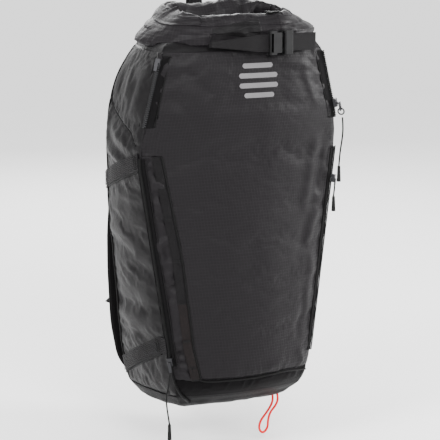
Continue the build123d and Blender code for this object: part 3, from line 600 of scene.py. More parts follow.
def front_relief(x, h):
    """How far the front cloth stands off its smooth form, in mm."""
    edge = station(h, 2)
    to_seam = edge - np.abs(x)
    pocket = x > daisy_x(h) - 2
    slack = np.clip(to_seam / 40, 0, 1) * np.clip((h - 64) / 30, 0.25, 1)
    relief = 1.5 * noise(x / 75, h / 95, 3) * slack
    relief += 0.8 * noise(x / 32, h / 60, 5) * slack
    relief += 0.9 * creases(x, h, 70, 26, 62, 11) * np.clip(1 - to_seam / 70, 0, 1) * pocket
    relief += 1.1 * near(h, 72, 16) * creases(x, h, 30, 11, 90, 21)
    relief += folds(x, h, [
        (118, 420, 96, 300, 9, 3.2), (132, 400, 118, 330, 5, -2.4), (126, 330, 100, 250, 8, 2.6),
        (104, 300, 80, 220, 10, -1.6), (112, 245, 96, 150, 8, 2.4), (96, 190, 84, 110, 7, -2.0),
        (-60, 530, 40, 522, 8, -1.6), (30, 536, 110, 518, 7, 1.8), (-115, 470, -80, 410, 8, 1.4),
        (-100, 520, -60, 480, 9, -1.5), (90, 520, 118, 455, 7, 1.8), (60, 90, 20, 74, 7, 1.4),
        (-40, 96, -64, 74, 6, -1.3), (85, 100, 98, 76, 6, 1.6), (-20, 500, -50, 440, 12, -0.8),
    ])
    crumple = (1 - pocket) * np.clip((to_seam - 1) / 9, 0, 1)
    relief += crumple * (3.4 * creases(x, h, 34, 13, 28, 31) + 3.0 * noise(x / 12, h / 20, 33) - 1.6)
    relief += crumple * folds(x, h, [
        (-150, 384, -122, 360, 5, -3.2), (-140, 350, -112, 322, 5, -3.0), (-138, 315, -108, 292, 5, -3.4),
        (-128, 262, -104, 240, 5, -2.4), (-128, 216, -102, 204, 5, -3.0), (-118, 110, -88, 104, 3.5, -2.6),
        (-118, 98, -86, 92, 3.5, -2.2), (-116, 84, -82, 80, 3.5, -2.4), (-134, 366, -112, 344, 5, 2.6),
        (-126, 330, -106, 306, 5, 2.2), (-122, 282, -104, 264, 5, 2.0), (-118, 190, -98, 160, 6, 2.0),
    ])
    relief -= 1.6 * near(x, daisy_x(h), 2.5) * (h < GUSSET_TOP)
    relief -= 1.3 * near(to_seam, 0, 5) + 1.2 * near(h, 66, 3)
    return relief


GRID_PITCH = 2.6


def front_grid():
    """Points over the whole front, with a column that follows the daisy chain line."""
    heights = rows(FRONT_SEAM, BODY_TOP, GRID_PITCH)
    left, right = np.linspace(0, 1, 26), np.linspace(0, 1, 104)[1:]
    edge, line = station(heights, 2), daisy_x(heights)
    x = np.concatenate([
        -edge + left[:, None] * (line + edge), line + right[:, None] * (edge - line),
    ])
    return x, np.broadcast_to(heights, x.shape), len(left) - 1


x, h, daisy_column = front_grid()
front = front_point(x, h)
in_gusset = (np.arange(x.shape[0] - 1)[:, None] < daisy_column) & (h[:-1, 1:] <= GUSSET_TOP + 1.5)
relief = front_relief(x, h)
pocket_edge = (np.arange(x.shape[0])[:, None] == daisy_column) & (h < GUSSET_TOP)
gusset_end = (np.abs(h - GUSSET_TOP) < 1.4) & (x <= daisy_x(h))
seams = pocket_edge | gusset_end
under_mark = (np.abs(x - MARK_CENTRE[0]) < 40) & (np.abs(h - MARK_CENTRE[1]) < 34)
front = settle(front, border(x.shape, seams, under_mark, np.abs(x - daisy_x(h) + 6) < 7), 0.005, 0.5, 3.5)
place(shell("front_pocket_cloth", front, CLOTH, RIPSTOP, ~in_gusset, relief),
      ["front_pocket_panel"])
place(shell("front_gusset_cloth", front, CLOTH, GUSSET, in_gusset, relief),
      ["front_gusset_left"])


def front_line(points, out, steps=10):
    """Line over the front cloth through (x, height) points, out mm off it."""
    line = smooth_path(np.asarray(points, float), steps)
    return surface_line(front_point, line[:, 0], line[:, 1], front_relief, out)


def bare(a, b):
    """No relief at all."""
    return np.zeros_like(a)


def surface_line(form, a, b, relief_of, out):
    """Points over a panel, and their normals."""
    base = form(a, b)
    normal = unit(np.cross(form(a + 0.5, b) - form(a - 0.5, b), form(a, b + 0.5) - form(a, b - 0.5)))
    if (normal[..., :2] * (base[..., :2] - BAG_AXIS)).sum() < 0:
        normal = -normal
    return base + normal * (relief_of(a, b) + out)[..., None] * MM, normal


def stitch_row(name, line, normal, pitch=3.0, size=(2.1, 0.55, 0.5)):
    points, ahead = spaced(line, pitch * MM)
    here, known = np.linspace(0, 1, len(points)), np.linspace(0, 1, len(normal))
    face = np.stack([np.interp(here, known, normal[:, k]) for k in range(3)], 1)
    return place(pills(name, points, ahead, face, tuple(s * MM for s in size), THREAD))


for number, inset in enumerate((5.0, 8.5)):
    heights = rows(92, 540, 8)
    line, normal = front_line([(station(v, 2) - inset - 3, v) for v in heights], 0.25, 3)
    stitch_row(f"right_seam_stitches_{number}", line, normal)
line, normal = front_line([(v, 72) for v in np.linspace(-62, 104, 20)], 0.25, 4)
stitch_row("bottom_seam_stitches", line, normal)
line, normal = front_line([(daisy_x(v) + 4, v) for v in rows(70, 396, 12)], 0.25, 4)
stitch_row("pocket_edge_stitches", line, normal)

# ---- generic printed mark -----------------------------------------------------------
BAR_HALF = 3.6
for number, (drop, reach) in enumerate(((-21, 24), (-7, 31), (7, 31), (21, 24))):
    a, b = np.meshgrid(np.linspace(-reach, reach, 42) + MARK_CENTRE[0],
                       np.linspace(-BAR_HALF, BAR_HALF, 9) + MARK_CENTRE[1] + drop, indexing="ij")
    end = np.abs(a - MARK_CENTRE[0]) - reach + BAR_HALF
    squeeze = np.sqrt(np.clip(1 - np.clip(end / BAR_HALF, 0, 1) ** 2, 0.02, 1))
    b = MARK_CENTRE[1] + drop + (b - MARK_CENTRE[1] - drop) * squeeze
    bar = shell(f"mark_bar_{number}", front_point(a, b), 0.3, PRINT, out=front_relief(a, b) + 0.35)
    place(bar)

# ---- daisy chain --------------------------------------------------------------------
BARTACKS = [68, 88, 128, 185, 247, 307, 352, 396]
DAISY_WIDTH = 12.0


def daisy_lift(h):
    """Loops of the daisy chain stand off the cloth between its bartacks."""
    lift = np.zeros_like(h)
    for low, high in zip(BARTACKS, BARTACKS[1:]):
        share = np.clip((h - low) / (high - low), 0, 1)
        lift = np.maximum(lift, np.sin(share * math.pi) ** 0.6 * (1.3 if high - low < 50 else 0.6))
    return lift


def daisy_chain(name, low, high, material):
    heights, across = rows(low, high, 1.5), np.linspace(0, 1, 9)
    b = np.broadcast_to(heights, (9, len(heights)))
    a = daisy_x(b) + 1 - (1 - across[:, None]) * DAISY_WIDTH
    rounded = 1 - 0.5 * np.abs(2 * across - 1)[:, None] ** 6
    out = front_relief(a, b) * 0.25 + 1.7 + daisy_lift(b) * rounded
    return place(shell(name, front_point(a, b), 1.5, material, out=out))


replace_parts(daisy_chain("daisy_chain_upper", 184, 398, WEBBING), "daisy_chain")
daisy_chain("daisy_chain_lower", 67, 185, WORN_WEBBING)
for number, at in enumerate(BARTACKS):
    a = daisy_x(at) - np.linspace(0.5, DAISY_WIDTH - 1.5, 16)
    for line_number, rise in enumerate((-1.4, 0, 1.4)):
        b = np.full_like(a, at + rise)
        line, normal = surface_line(front_point, a, b, lambda p, q: front_relief(p, q) * 0.25, 2.0)
        stitch_row(f"bartack_{number}_{line_number}", line, normal, 0.9, (0.8, 1.0, 0.7))
line, normal = surface_line(front_point, daisy_x(rows(66, 398, 4)) + 2.2, rows(66, 398, 4),
                            lambda p, q: front_relief(p, q) * 0.5, 1.0)
piping("pocket_edge_binding", line, 1.5)

# ---- sides, back, base and collar ---------------------------------------------------
SIDE_SEAM = 30.0
# Heights of a compression strap's upper edge at the front and at the back.
COMPRESSION = {"upper": (402.0, 358.0), "lower": (131.0, 68.0)}
STRAP_WIDTH = 25.0


def strap_top(y, front_top, back_top):
    """Height of a compression strap's upper edge at a depth y."""
    return np.interp(-y, [12, 152], [back_top, front_top])


def side_relief(y, h, sign):
    """Cloth of a side hangs in broad waves between its straps. y is the depth, 0 to about -170."""
    to_front, to_back = y + station(h, 3), -y - BACK_CORNER + 8
    slack = np.clip(to_front / 25, 0, 1) * np.clip((h - 30) / 30, 0, 1) * np.clip(to_back / 20, 0.3, 1)
    seed = 40 if sign < 0 else 60
    relief = 1.6 * noise(y / 48, h / 62, seed) * slack + 0.8 * noise(y / 21, h / 33, seed + 1) * slack
    relief += 0.5 * creases(y, h, 75, 30, 22, seed + 2) * slack
    relief += folds(y, h, [
        (-20, 270, -118, 286, 13, 2.6), (-24, 240, -120, 252, 10, -1.6), (-22, 205, -112, 220, 12, 2.4),
        (-26, 160, -122, 182, 9, -2.8), (-24, 140, -130, 160, 10, 2.4), (-24, 112, -128, 134, 7, -2.6),
        (-30, 330, -150, 318, 12, -1.6), (-54, 436, -140, 402, 7, 2.8), (-44, 418, -130, 386, 6, -2.6),
        (-34, 404, -124, 374, 7, 2.6), (-34, 470, -40, 380, 8, 2.4), (-60, 520, -60, 460, 9, -1.5),
        (-95, 530, -100, 470, 8, 2.0), (-125, 505, -118, 455, 7, -1.8), (-80, 88, -130, 108, 7, 1.6),
        (-40, 48, -110, 60, 8, -1.4),
    ]) * slack
    relief -= 1.2 * near(to_front, 0, 5) + 1.0 * near(h, SIDE_SEAM, 3)
    if sign < 0:
        seam_h = np.interp(-y, [26, 60, 91, 132, 146], [470, 450, 443, 428, 414])
        relief -= 1.5 * near(h, seam_h, 2.2)
    for top in COMPRESSION.values():
        middle = strap_top(y, *top) - STRAP_WIDTH / 2
        relief -= 1.2 * near(h, middle, 15) * slack
    return relief


def side_grid():
    heights = rows(SIDE_SEAM, BODY_TOP, GRID_PITCH)
    share = np.linspace(0, 1, 58)
    deep = station(heights, 3)
    y = -BACK_CORNER - share[:, None] * (deep - BACK_CORNER)
    return y, np.broadcast_to(heights, y.shape)


for name, sign in SIDES.items():
    y, h = side_grid()
    held = np.zeros(y.shape, bool)
    for front_top, back_top in COMPRESSION.values():
        held |= np.abs(h - strap_top(y, front_top, back_top) + 12.5) < 14
    if sign < 0:
        held |= np.abs(h - np.interp(-y, [26, 60, 91, 132, 148], [472, 455, 443, 428, 412])) < 3
    cloth = settle(side_point(y, h, sign), border(y.shape, held), 0.014, 1.4, 6.0)
    made = shell(f"side_cloth_{name}", cloth, CLOTH, NYLON, out=side_relief(y, h, sign))
    place(made, [f"side_panel_{name}"])

q, h = np.meshgrid(np.linspace(-1, 1, 90), rows(SIDE_SEAM, BODY_TOP, 5), indexing="ij")
q = q * (station(h, 1) - BACK_CORNER + BACK_CORNER * math.pi / 2)
relief = 0.5 * noise(q / 40, h / 40, 71) * near(h, 520, 30) - 0.4
place(shell("back_cloth", back_point(q, h), CLOTH, BASE_CLOTH, out=relief),
      ["back_panel"])


def side_line(points, sign, out, steps=8):
    line = smooth_path(np.asarray(points, float), steps)
    relief_of = lambda a, b: side_relief(a, b, sign)
    return surface_line(lambda a, b: side_point(a, b, sign), line[:, 0], line[:, 1], relief_of, out)


CURVED_SEAM = [(-27, 472), (-45, 458), (-91, 443), (-132, 428), (-148, 412)]
line, normal = side_line(CURVED_SEAM, -1, 0.4)
piping("side_curved_seam", line, 1.1)
for number, drop in enumerate((5.5, 9.0)):
    line, normal = side_line([(y, h + drop) for y, h in CURVED_SEAM], -1, 0.3)
    stitch_row(f"side_seam_stitches_{number}", line, normal)
for name, sign in SIDES.items():
    back_edge = [(-BACK_CORNER - 1, v) for v in rows(32, 544, 20)]
    line, normal = side_line(back_edge, sign, 0.6, 4)
    piping(f"back_corner_piping_{name}", line, 1.5)


def base_ring(share, level):
    """Section outline of the base, share 0 to 1 all the way round, at a height."""
    h = np.full_like(share, level)
    half, edge = station(level, 1), station(level, 2)
    deep = station(level, 3)
    lengths = np.array([2 * edge, deep, 2 * half, deep])
    stops = np.concatenate([[0], np.cumsum(lengths) / lengths.sum()])
    points = np.zeros(share.shape + (3,))
    part = np.clip(np.searchsorted(stops, share, side="right") - 1, 0, 3)
    inside = (share - stops[part]) / (stops[part + 1] - stops[part])
    whole = half - BACK_CORNER + BACK_CORNER * math.pi / 2
    faces = [
        front_point(-edge + 2 * edge * inside, h),
        side_point(-deep + (deep - BACK_CORNER) * inside, h, 1),
        back_point(whole - 2 * whole * inside, h),
        side_point(-BACK_CORNER - (deep - BACK_CORNER) * inside, h, -1),
    ]
    for number, face in enumerate(faces):
        points[part == number] = face[part == number]
    return points


share = np.linspace(0, 1, 241)
levels = np.concatenate([[0, 1.5, 4], rows(8, SIDE_SEAM, 2.75)])
wall = np.stack([base_ring(share, v) for v in levels], 1)
middle = np.array([0, -0.062, up(8.0)])
inward = [wall[:, :1] * s + middle * (1 - s) for s in np.linspace(0.005, 0.98, 16)]
floor = np.concatenate(inward, 1)
floor[..., 2] = np.minimum(floor[..., 2], wall[:, :1, 2] + 0.001)
base = np.concatenate([floor, wall], 1)
relief = 0.9 * noise(share[:, None] * 40, np.arange(base.shape[1])[None] / 4.0, 81)
relief = relief * np.sin(np.linspace(0, 1, base.shape[1]) * math.pi)[None] - 0.3
place(shell("base_cloth", base, 2.0, BASE_CLOTH, out=relief), ["base_panel"])

x, h = np.meshgrid(np.linspace(-1, 1, 110), rows(29, FRONT_SEAM, 2.3), indexing="ij")
x = x * station(h, 2)
relief = 1.4 * creases(x, h, 26, 12, 80, 85) * near(h, 58, 12) - 1.2 * near(h, 66, 3)
place(shell("base_front_cloth", front_point(x, h), 2.0, BASE_CLOTH, out=relief))
BOTTOM_SEAM = [(-87, 92), (-85, 80), (-78, 70), (-64, 64), (-32, 63.5), (12, 63.5), (59, 65.5), (92, 61),
               (107, 58)]
line = smooth_path(BOTTOM_SEAM, 10)
line, normal = surface_line(front_point, line[:, 0], line[:, 1], bare, 0.9)
piping("base_front_binding", line, 1.3)
BASE_CURVE = [(-30, 32), (-34, 18), (-60, 8), (-100, 9), (-140, 26), (-158, 62)]
line, normal = side_line([(y, max(h, 31)) for y, h in BASE_CURVE], -1, 0.8)
piping("base_side_binding", line, 1.3)

BASE_BINDING = [(-116, 92), (-109, 66), (-98, 40), (-86, 24), (-76, 14)]
line = smooth_path(BASE_BINDING, 10)
line, normal = surface_line(front_point, line[:, 0], line[:, 1], bare, 1.0)
place(sweep("base_left_binding", line, 2.0 * MM, HEAVY, 10))

# ---- rolled collar ------------------------------------------------------------------
ROLL_HEIGHT, ROLL_CENTRE_Y = 575.5, -98.0
ROLL_HALF_WIDTH, ROLL_HALF_DEPTH, ROLL_RADIUS = 120.0, 64.0, 24.0
ROLL_TILT = math.radians(3.0)


def stadium(share):
    """Centre line of the roll, its way outwards and how far round it is, in mm."""
    straight = ROLL_HALF_WIDTH - ROLL_HALF_DEPTH
    bend = math.pi * ROLL_HALF_DEPTH
    s = share * (4 * straight + 2 * bend)
    turn = np.clip((s - 2 * straight) / ROLL_HALF_DEPTH, 0, math.pi)
    turn = turn + np.clip((s - 4 * straight - bend) / ROLL_HALF_DEPTH, 0, math.pi)
    run = np.minimum(s, 2 * straight) - np.clip(s - 2 * straight - bend, 0, 2 * straight)
    out = np.stack([np.sin(turn), -np.cos(turn)], -1)
    centre = np.stack([-straight + run, 0 * run], -1) + out * ROLL_HALF_DEPTH
    return centre, out, s


def roll_point(share, angle, radius):
    """Point on the roll: angle 0 faces out, 90 degrees up."""
    centre, out, _ = stadium(share)
    reach = radius * np.cos(angle)
    rise = radius * np.sin(angle)
    left, right = np.clip(-out[..., 0], 0, 1), np.clip(out[..., 0], 0, 1)
    lean = 1.5 * left * np.clip(rise + 20, 0, 60) + 1.5 * right * np.clip(rise + 2, 0, 40)
    reach = reach - lean * np.clip((ROLL_HALF_DEPTH + reach) / 88, 0, 1)
    back = np.clip(out[..., 1], 0, 1)
    rise = rise + 4.0 * back * np.clip((rise + 24) / 48, 0, 1)
    flat = centre + out * reach[..., None]
    y = flat[..., 1] * math.cos(ROLL_TILT) - rise * math.sin(ROLL_TILT)
    z = flat[..., 1] * math.sin(ROLL_TILT) + rise * math.cos(ROLL_TILT)
    return np.stack([flat[..., 0] * MM, (y + ROLL_CENTRE_Y) * MM, up(ROLL_HEIGHT) + z * MM], -1)


def roll_radius(share, angle):
    """Outer radius of the roll: flattened turns, a free edge and creases across the bends."""
    _, _, s = stadium(share)
    degrees = np.degrees(angle) % 360
    square = (np.abs(np.cos(angle)) ** 3.2 + np.abs(np.sin(angle)) ** 3.2) ** (-1 / 3.2)
    radius = ROLL_RADIUS * (0.8 + 0.2 * square)
    edge_angle = 48 + 16 * np.sin(share * 2 * math.pi + 0.6) + 5 * noise(s / 30, 0 * s, 91)
    behind = (degrees - edge_angle) % 360
    radius = radius + 2.6 * np.exp(-behind / 150) - 1.2
    lower = 182 + 14 * np.sin(share * 2 * math.pi + 2)
    inner = 300 + 6 * noise(s / 25, 0 * s, 93)
    radius = radius - 2.2 * near(degrees, lower, 5) - 1.8 * near(degrees, inner, 6)
    radius = radius + 1.2 * creases(s, degrees * 0.42, 90, 9, 12, 95)
    radius = radius + 2.4 * noise(s / 30, degrees / 55, 97) + 1.0 * noise(s / 10, degrees / 40, 98)
    behind_right = np.clip(np.sin((share - 0.2) * 2 * math.pi), 0, 1)
    radius = radius + 3.4 * behind_right * creases(s, degrees * 0.42, 60, 17, 55, 99)
    upper_fold = near(degrees, 96 + 30 * np.sin(share * 9), 7)
    outer_fold = near(degrees, 20 + 12 * np.sin(share * 7 + 1), 5)
    return radius - 2.6 * (upper_fold + outer_fold) - 1.2


ROLL_COLUMNS, ROLL_ROWS = 420, 97
share, angle = np.meshgrid(np.linspace(0, 1, ROLL_COLUMNS, endpoint=False),
                           np.linspace(0, 2 * math.pi, ROLL_ROWS), indexing="ij")
points = roll_point(share, angle, roll_radius(share, np.where(angle > 6.28, 0, angle)))
points[:, -1] = points[:, 0]
quads = grid_faces(ROLL_COLUMNS, ROLL_ROWS, wrap=True)
quads = np.where(quads % ROLL_ROWS == ROLL_ROWS - 1, quads - ROLL_ROWS + 1, quads)
used, quads = np.unique(quads, return_inverse=True)
uv = np.stack([share * 0.62, angle * ROLL_RADIUS * MM], -1).reshape(-1, 2)[used]
roll = outward(new_object("roll_cloth", points.reshape(-1, 3)[used], quads.reshape(-1, 4), ROLL_CLOTH, uv))
place(roll, ["roll_top"])

# The collar closes the bag under the roll.
around = np.linspace(0, 1, 300)
COLLAR_MIDDLE = np.array([0, -0.092, 0])
# Height of the ring of the bag that a level copies, its size in plan and its rise in mm.
COLLAR_LEVELS = [(538, 1.004, 0), (542, 1.0, 0), (546, 0.99, 0), (546, 0.975, 3), (546, 0.95, 7),
                 (546, 0.9, 11), (546, 0.8, 13), (546, 0.6, 13.5), (546, 0.4, 13.5), (546, 0.2, 13.5),
                 (546, 0.004, 13.5)]


def collar_ring(level, size, rise):
    points = base_ring(around, level)
    return COLLAR_MIDDLE + (points - COLLAR_MIDDLE) * np.array([size, size, 1]) + np.array([0, 0, rise * MM])


collar = np.stack([collar_ring(*level) for level in COLLAR_LEVELS], 1)
relief = 1.5 * creases(around[:, None] * 900, np.arange(11)[None] * 4.0, 12, 60, 90, 105)
place(shell("collar_cloth", collar, 1.6, NYLON, out=relief * np.linspace(0.3, 1, 11)[None]),
      ["top_collar"])


def roll_patch(name, shares, angles, out, thick, material, count):
    """Piece of cloth or webbing lying on the roll; shares and angles are corner pairs at each end."""
    u, v = np.meshgrid(np.linspace(0, 1, count[0]), np.linspace(0, 1, count[1]), indexing="ij")
    low = np.interp(u, np.linspace(0, 1, len(angles)), [a[0] for a in angles])
    high = np.interp(u, np.linspace(0, 1, len(angles)), [a[1] for a in angles])
    share = shares[0] + (shares[1] - shares[0]) * u
    angle = np.radians(low + (high - low) * v)
    radius = roll_radius(share % 1, angle) + out
    return place(shell(name, roll_point(share % 1, angle, radius), thick, material))


roll_patch("roll_end_piece", (0.0, 0.125), [(4, 12), (-10, 36), (-22, 50)], 1.2, 1.5, NYLON, (90, 24))
roll_patch("roll_flap", (0.80, 0.985), [(20, 95), (18, 92), (20, 84), (34, 70)], 2.2, 1.4, ROLL_CLOTH,
           (80, 26))
roll_patch("roll_tab", (0.155, 0.19), [(74, 104), (74, 104)], 1.8, 1.6, HEAVY, (14, 14))
roll_patch("roll_light_flap", (0.19, 0.29), [(58, 104), (56, 96), (60, 84)], 1.2, 1.2, ROLL_CLOTH, (50, 16))

# ---- zips ---------------------------------------------------------------------------
ZIPS = {
    "shoulder_zip_left": (-1, 440, 540),
    "shoulder_zip_right": (1, 440, 540),
    "front_zip_left": (-1, 90, 395),
    "front_zip_right": (1, 90, 395),
}
TAPE_REACH = 5.5
SHOULDER_TAPE_REACH = 12.0
TEETH_OUT = 2.1
for name, (sign, low, high) in ZIPS.items():
    heights = rows(low, high, 2.5)
    chunky = name.startswith("shoulder")
    wide = SHOULDER_TAPE_REACH if chunky else TAPE_REACH
    reach = np.linspace(-1, 1, 15)
    b = np.broadcast_to(heights, (15, len(heights)))
    inset = np.clip(-reach, 0, 1)[:, None] * wide
    around = np.clip(reach, 0, 1)[:, None] * wide
    on_front = front_point(sign * (station(b, 2) - inset), b)
    on_side = side_point(-station(b, 3) + around, b, sign)
    tape = np.where((reach < 0)[:, None, None], on_front, on_side)
    tape = np.where((np.abs(reach) < 0.05)[:, None, None], seam_point(b, sign), tape)
    wavy = 0.3 * noise(b / 16, reach[:, None] * 2, 120 + sign)
    place(shell(f"{name}_tape", tape, 1.2, TAPE, out=0.9 + wavy), [name])
    coil = seam_point(rows(low, high, 4), sign, TEETH_OUT)
    pitch, tooth = (3.0, (2.8, 1.3, 2.4)) if chunky else (1.5, (1.7, 0.9, 1.9))
    points, ahead = spaced(coil, pitch * MM)
    outside = np.tile([sign * 0.7071, -0.7071, 0], (len(points), 1))
    across = np.cross(ahead, outside)
    for row_number, shift in enumerate((-0.4, 0.4)):
        offset = points + across * shift * tooth[0] * MM + ahead * (row_number * pitch / 2 * MM)
        size = tuple(t * MM for t in tooth)
        # The left shoulder zip alone gets the lighter teeth, a painted highlight along that zip.
        finish = TEETH if name == "shoulder_zip_left" else DARK_TEETH
        place(pills(f"{name}_teeth_{row_number}", offset, across, outside, size, finish))
    edge_heights = rows(low + 1, high - 1, 6)
    side_edge = [side_point(-station(v, 3) + wide + 1.0, v, sign) + np.array([sign * 0.9, 0, 0]) * MM
                 for v in edge_heights]
    front_edge = [front_point(sign * (station(v, 2) - wide - 1.0), v) + np.array([0, -0.9, 0]) * MM
                  for v in edge_heights]
    for row_number, edge_line in enumerate((side_edge, front_edge)):
        # Only the front edge piping of the left front zip gets the lighter nylon, a painted highlight along
        # it.
        light = row_number == 1 and name == "front_zip_left"
        piping(f"{name}_piping_{row_number}", edge_line, 0.9, material=NYLON if light else HEAVY)

# ---- compression straps -------------------------------------------------------------
for name, sign in SIDES.items():
    for level, (front_top, back_top) in COMPRESSION.items():
        y = np.linspace(-155 if level == "upper" else -166, -8, 90)[:, None]
        top = strap_top(y, front_top, back_top)
        across = np.linspace(0, 1, 61)[None]
        h = top - STRAP_WIDTH * across
        y = np.broadcast_to(y, h.shape)
        lift = 1.9 + 0.7 * np.sin(y / 19 + sign) + 0.25 * side_relief(y, h, sign)
        ribs = 0.28 * np.sin(across * STRAP_WIDTH / RIB_PITCH * 2 * math.pi) * (np.abs(across - 0.5) < 0.46)
        strap = shell(f"compression_{level}_{name}", side_point(y, h, sign), 1.7, RIBBED,
                      out=np.clip(lift, 1.5, 3.4) + ribs)
        place(strap)
        if level == "upper":
            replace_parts(strap, f"compression_straps_{name}")
        for end_number, at in enumerate((-148.0, -16.0)):
            for row_number in range(2):
                v = strap_top(at, front_top, back_top) - np.linspace(2, 23, 12)
                line, normal = side_line([(at + row_number * 5, w) for w in v], sign, 0, 3)
                line = line + normal * 2.6 * MM
                stitch_row(f"strap_{level}_{name}_bartack_{end_number}_{row_number}", line, normal, 1.1,
                           (0.9, 1.5, 0.6))
        edge_y = np.linspace(-152, -14, 40)
        edge_h = strap_top(edge_y, front_top, back_top) - 26.2
        line, normal = side_line(np.stack([edge_y, edge_h], 1), sign, 0.8, 2)
        piping(f"compression_{level}_{name}_hem", line, 1.3)

# ---- straps over the roll, haul loop and harness webbing ----------------------------
ROLL_STRAP_HEIGHT = 556.0
end_route = metres([28, 12, -20, -62], [-198.7, -197, -193.8, -190], ROLL_STRAP_HEIGHT)
end_strap = webbing("roll_strap_left", end_route, (0, 0, 1), 25 * MM, 1.9 * MM, wave=0.0004, taper=0.3)
place(end_strap, ["roll_straps"])
BUCKLE_TURN = math.radians(12)
BUCKLE_X, BUCKLE_Y = 48.0, -194.5


def on_buckle(along, out):
    """Points of the roll buckle's plane, along the strap and out of it, in mm."""
    c, s = math.cos(BUCKLE_TURN), math.sin(BUCKLE_TURN)
    return metres(BUCKLE_X + along * c - out * s, BUCKLE_Y + along * s + out * c, ROLL_STRAP_HEIGHT)


plug_route = on_buckle(np.array([5, 24, 43, 62]), -4.6)
place(webbing("roll_strap_right", plug_route, (0, 0, 1), 25 * MM, 1.6 * MM))
LOOP_ROUTE = [(1.4, 500), (1.4, 530), (1.0, 548), (-5.5, 560), (-7.3, 572), (-7.3, 590), (-7.3, 606),
              (-5.2, 612.2), (0, 613.3), (5.2, 612.2), (7.3, 606), (7.3, 590), (7.3, 566), (6.2, 550),
              (4.5, 536), (4.4, 500)]
loop_route = metres(0, *np.transpose(LOOP_ROUTE))
made = webbing("haul_loop_webbing", loop_route, (1, 0, 0), 20 * MM, 2.5 * MM, steps=6)
place(made, ["haul_loop"])
STRAP_X = 68.0
HARNESS = {
    "lower": [(69, 81.0, 162), (84, 66.5, 157.8), (108, 45, 151), (130, 25.4, 144)],
    "lifter": [(64, 60, 486), (62, 40, 501), (60, 20, 517), (58, 1.8, 532)],
}
for name, sign in SIDES.items():
    for part, route in HARNESS.items():
        x, y, h = np.transpose(route)
        made = webbing(f"harness_{part}_{name}", metres(sign * x, y, h), (1, 0, 0), 20 * MM, 1.6 * MM)
        place(made, ["harness_webbings"] if (part, sign) == ("lower", -1) else ())
CHEST_HEIGHT = 372.0
CHEST = {
    "chest_webbing_plug_side": [(-5, 116.6), (-30, 116.8), (-58, 116.4), (-66.5, 114.5), (-69.5, 110),
                                (-70, 107.4)],
    "chest_webbing_socket_side": [(67.5, 107.8), (45, 108), (26, 108.2), (18.5, 110.5), (17.5, 112.5)],
}
for name, route in CHEST.items():
    made = webbing(name, metres(*np.transpose(route), CHEST_HEIGHT), (0, 0, 1), 20 * MM, 1.6 * MM)
    place(made, ["chest_webbing"] if "plug" in name else (), "chest_strap")
HIP_HEIGHT = 89.0
for name, (low, high) in {"left": (-96, -45.5), "right": (54.5, 96)}.items():
    route = metres(np.linspace(low, high, 5), 49.9, HIP_HEIGHT)
    made = webbing(f"hip_strap_{name}", route, (0, 0, 1), 38 * MM, 1.6 * MM)
    place(made, [f"hip_webbing_{name}"], f"hip_fin_{name}")

# ---- padded harness -----------------------------------------------------------------
PAD_POINTS = 240


def rounded_outline(corners, radius):
    """Closed outline with round corners, evenly spaced, in mm."""
    corners = np.asarray(corners, float)
    outline = []
    for before, at, after in zip(np.roll(corners, 1, 0), corners, np.roll(corners, -1, 0)):
        a, b = before - at, after - at
        reach = min(radius, 0.48 * np.linalg.norm(a), 0.48 * np.linalg.norm(b))
        a, b = at + a / np.linalg.norm(a) * reach, at + b / np.linalg.norm(b) * reach
        for t in np.linspace(0, 1, 10):
            outline.append((1 - t) ** 2 * a + 2 * t * (1 - t) * at + t**2 * b)
    outline = np.array(outline + [outline[0]])
    along = lengths_along(outline)
    even = np.linspace(0, along[-1], PAD_POINTS + 1)[:-1]
    return np.stack([np.interp(even, along, outline[:, k]) for k in range(2)], 1)


def pad(name, corners, radius, y_low, y_high, crown, channels):
    """Foam pad in the x-height plane: flat behind, crowned in front, with sewn channels."""
    outline = rounded_outline(corners, radius)
    centre = outline.mean(0)
    shares = np.array([0.02, 0.12, 0.24, 0.36, 0.48, 0.58, 0.68, 0.76, 0.83, 0.89, 0.935, 0.965, 0.985, 1.0])
    fine = np.interp(np.linspace(0, 13, 40), np.arange(14), shares)
    flat = centre + (outline - centre)[None] * fine[:, None, None]
    size = np.linalg.norm(outline - centre, axis=1).mean()
    to_edge = (1 - fine)[:, None] * size
    x, h = flat[..., 0], flat[..., 1]
    swell = np.clip(to_edge / crown, 0, 1)
    depth = (y_high - y_low) * (0.30 + 0.70 * np.sqrt(1 - (1 - swell) ** 2))
    relief = folds(x, h, channels) + 0.35 * noise(x / 22, h / 22, len(name))
    top = y_low + np.clip(depth + relief * swell, 1.5, y_high - y_low + 1.0)
    upper = metres(x, top, h)
    edge = metres(outline[:, 0], y_low + 0.15 * (y_high - y_low), outline[:, 1])
    lower = metres(x, y_low, h)[::-1]
    rings = np.concatenate([upper, edge[None], lower])
    uv = rings[..., [0, 2]].reshape(-1, 2)
    made = outward(new_object(name, rings.reshape(-1, 3), tube_faces(len(rings), PAD_POINTS), MESH, uv))
    loop = np.concatenate([edge, edge[:2]])
    rim = sweep(f"{name}_binding", loop + np.array([0, 0.9, 0]) * MM, 2.0 * MM, HEAVY, 10)
    return made, rim


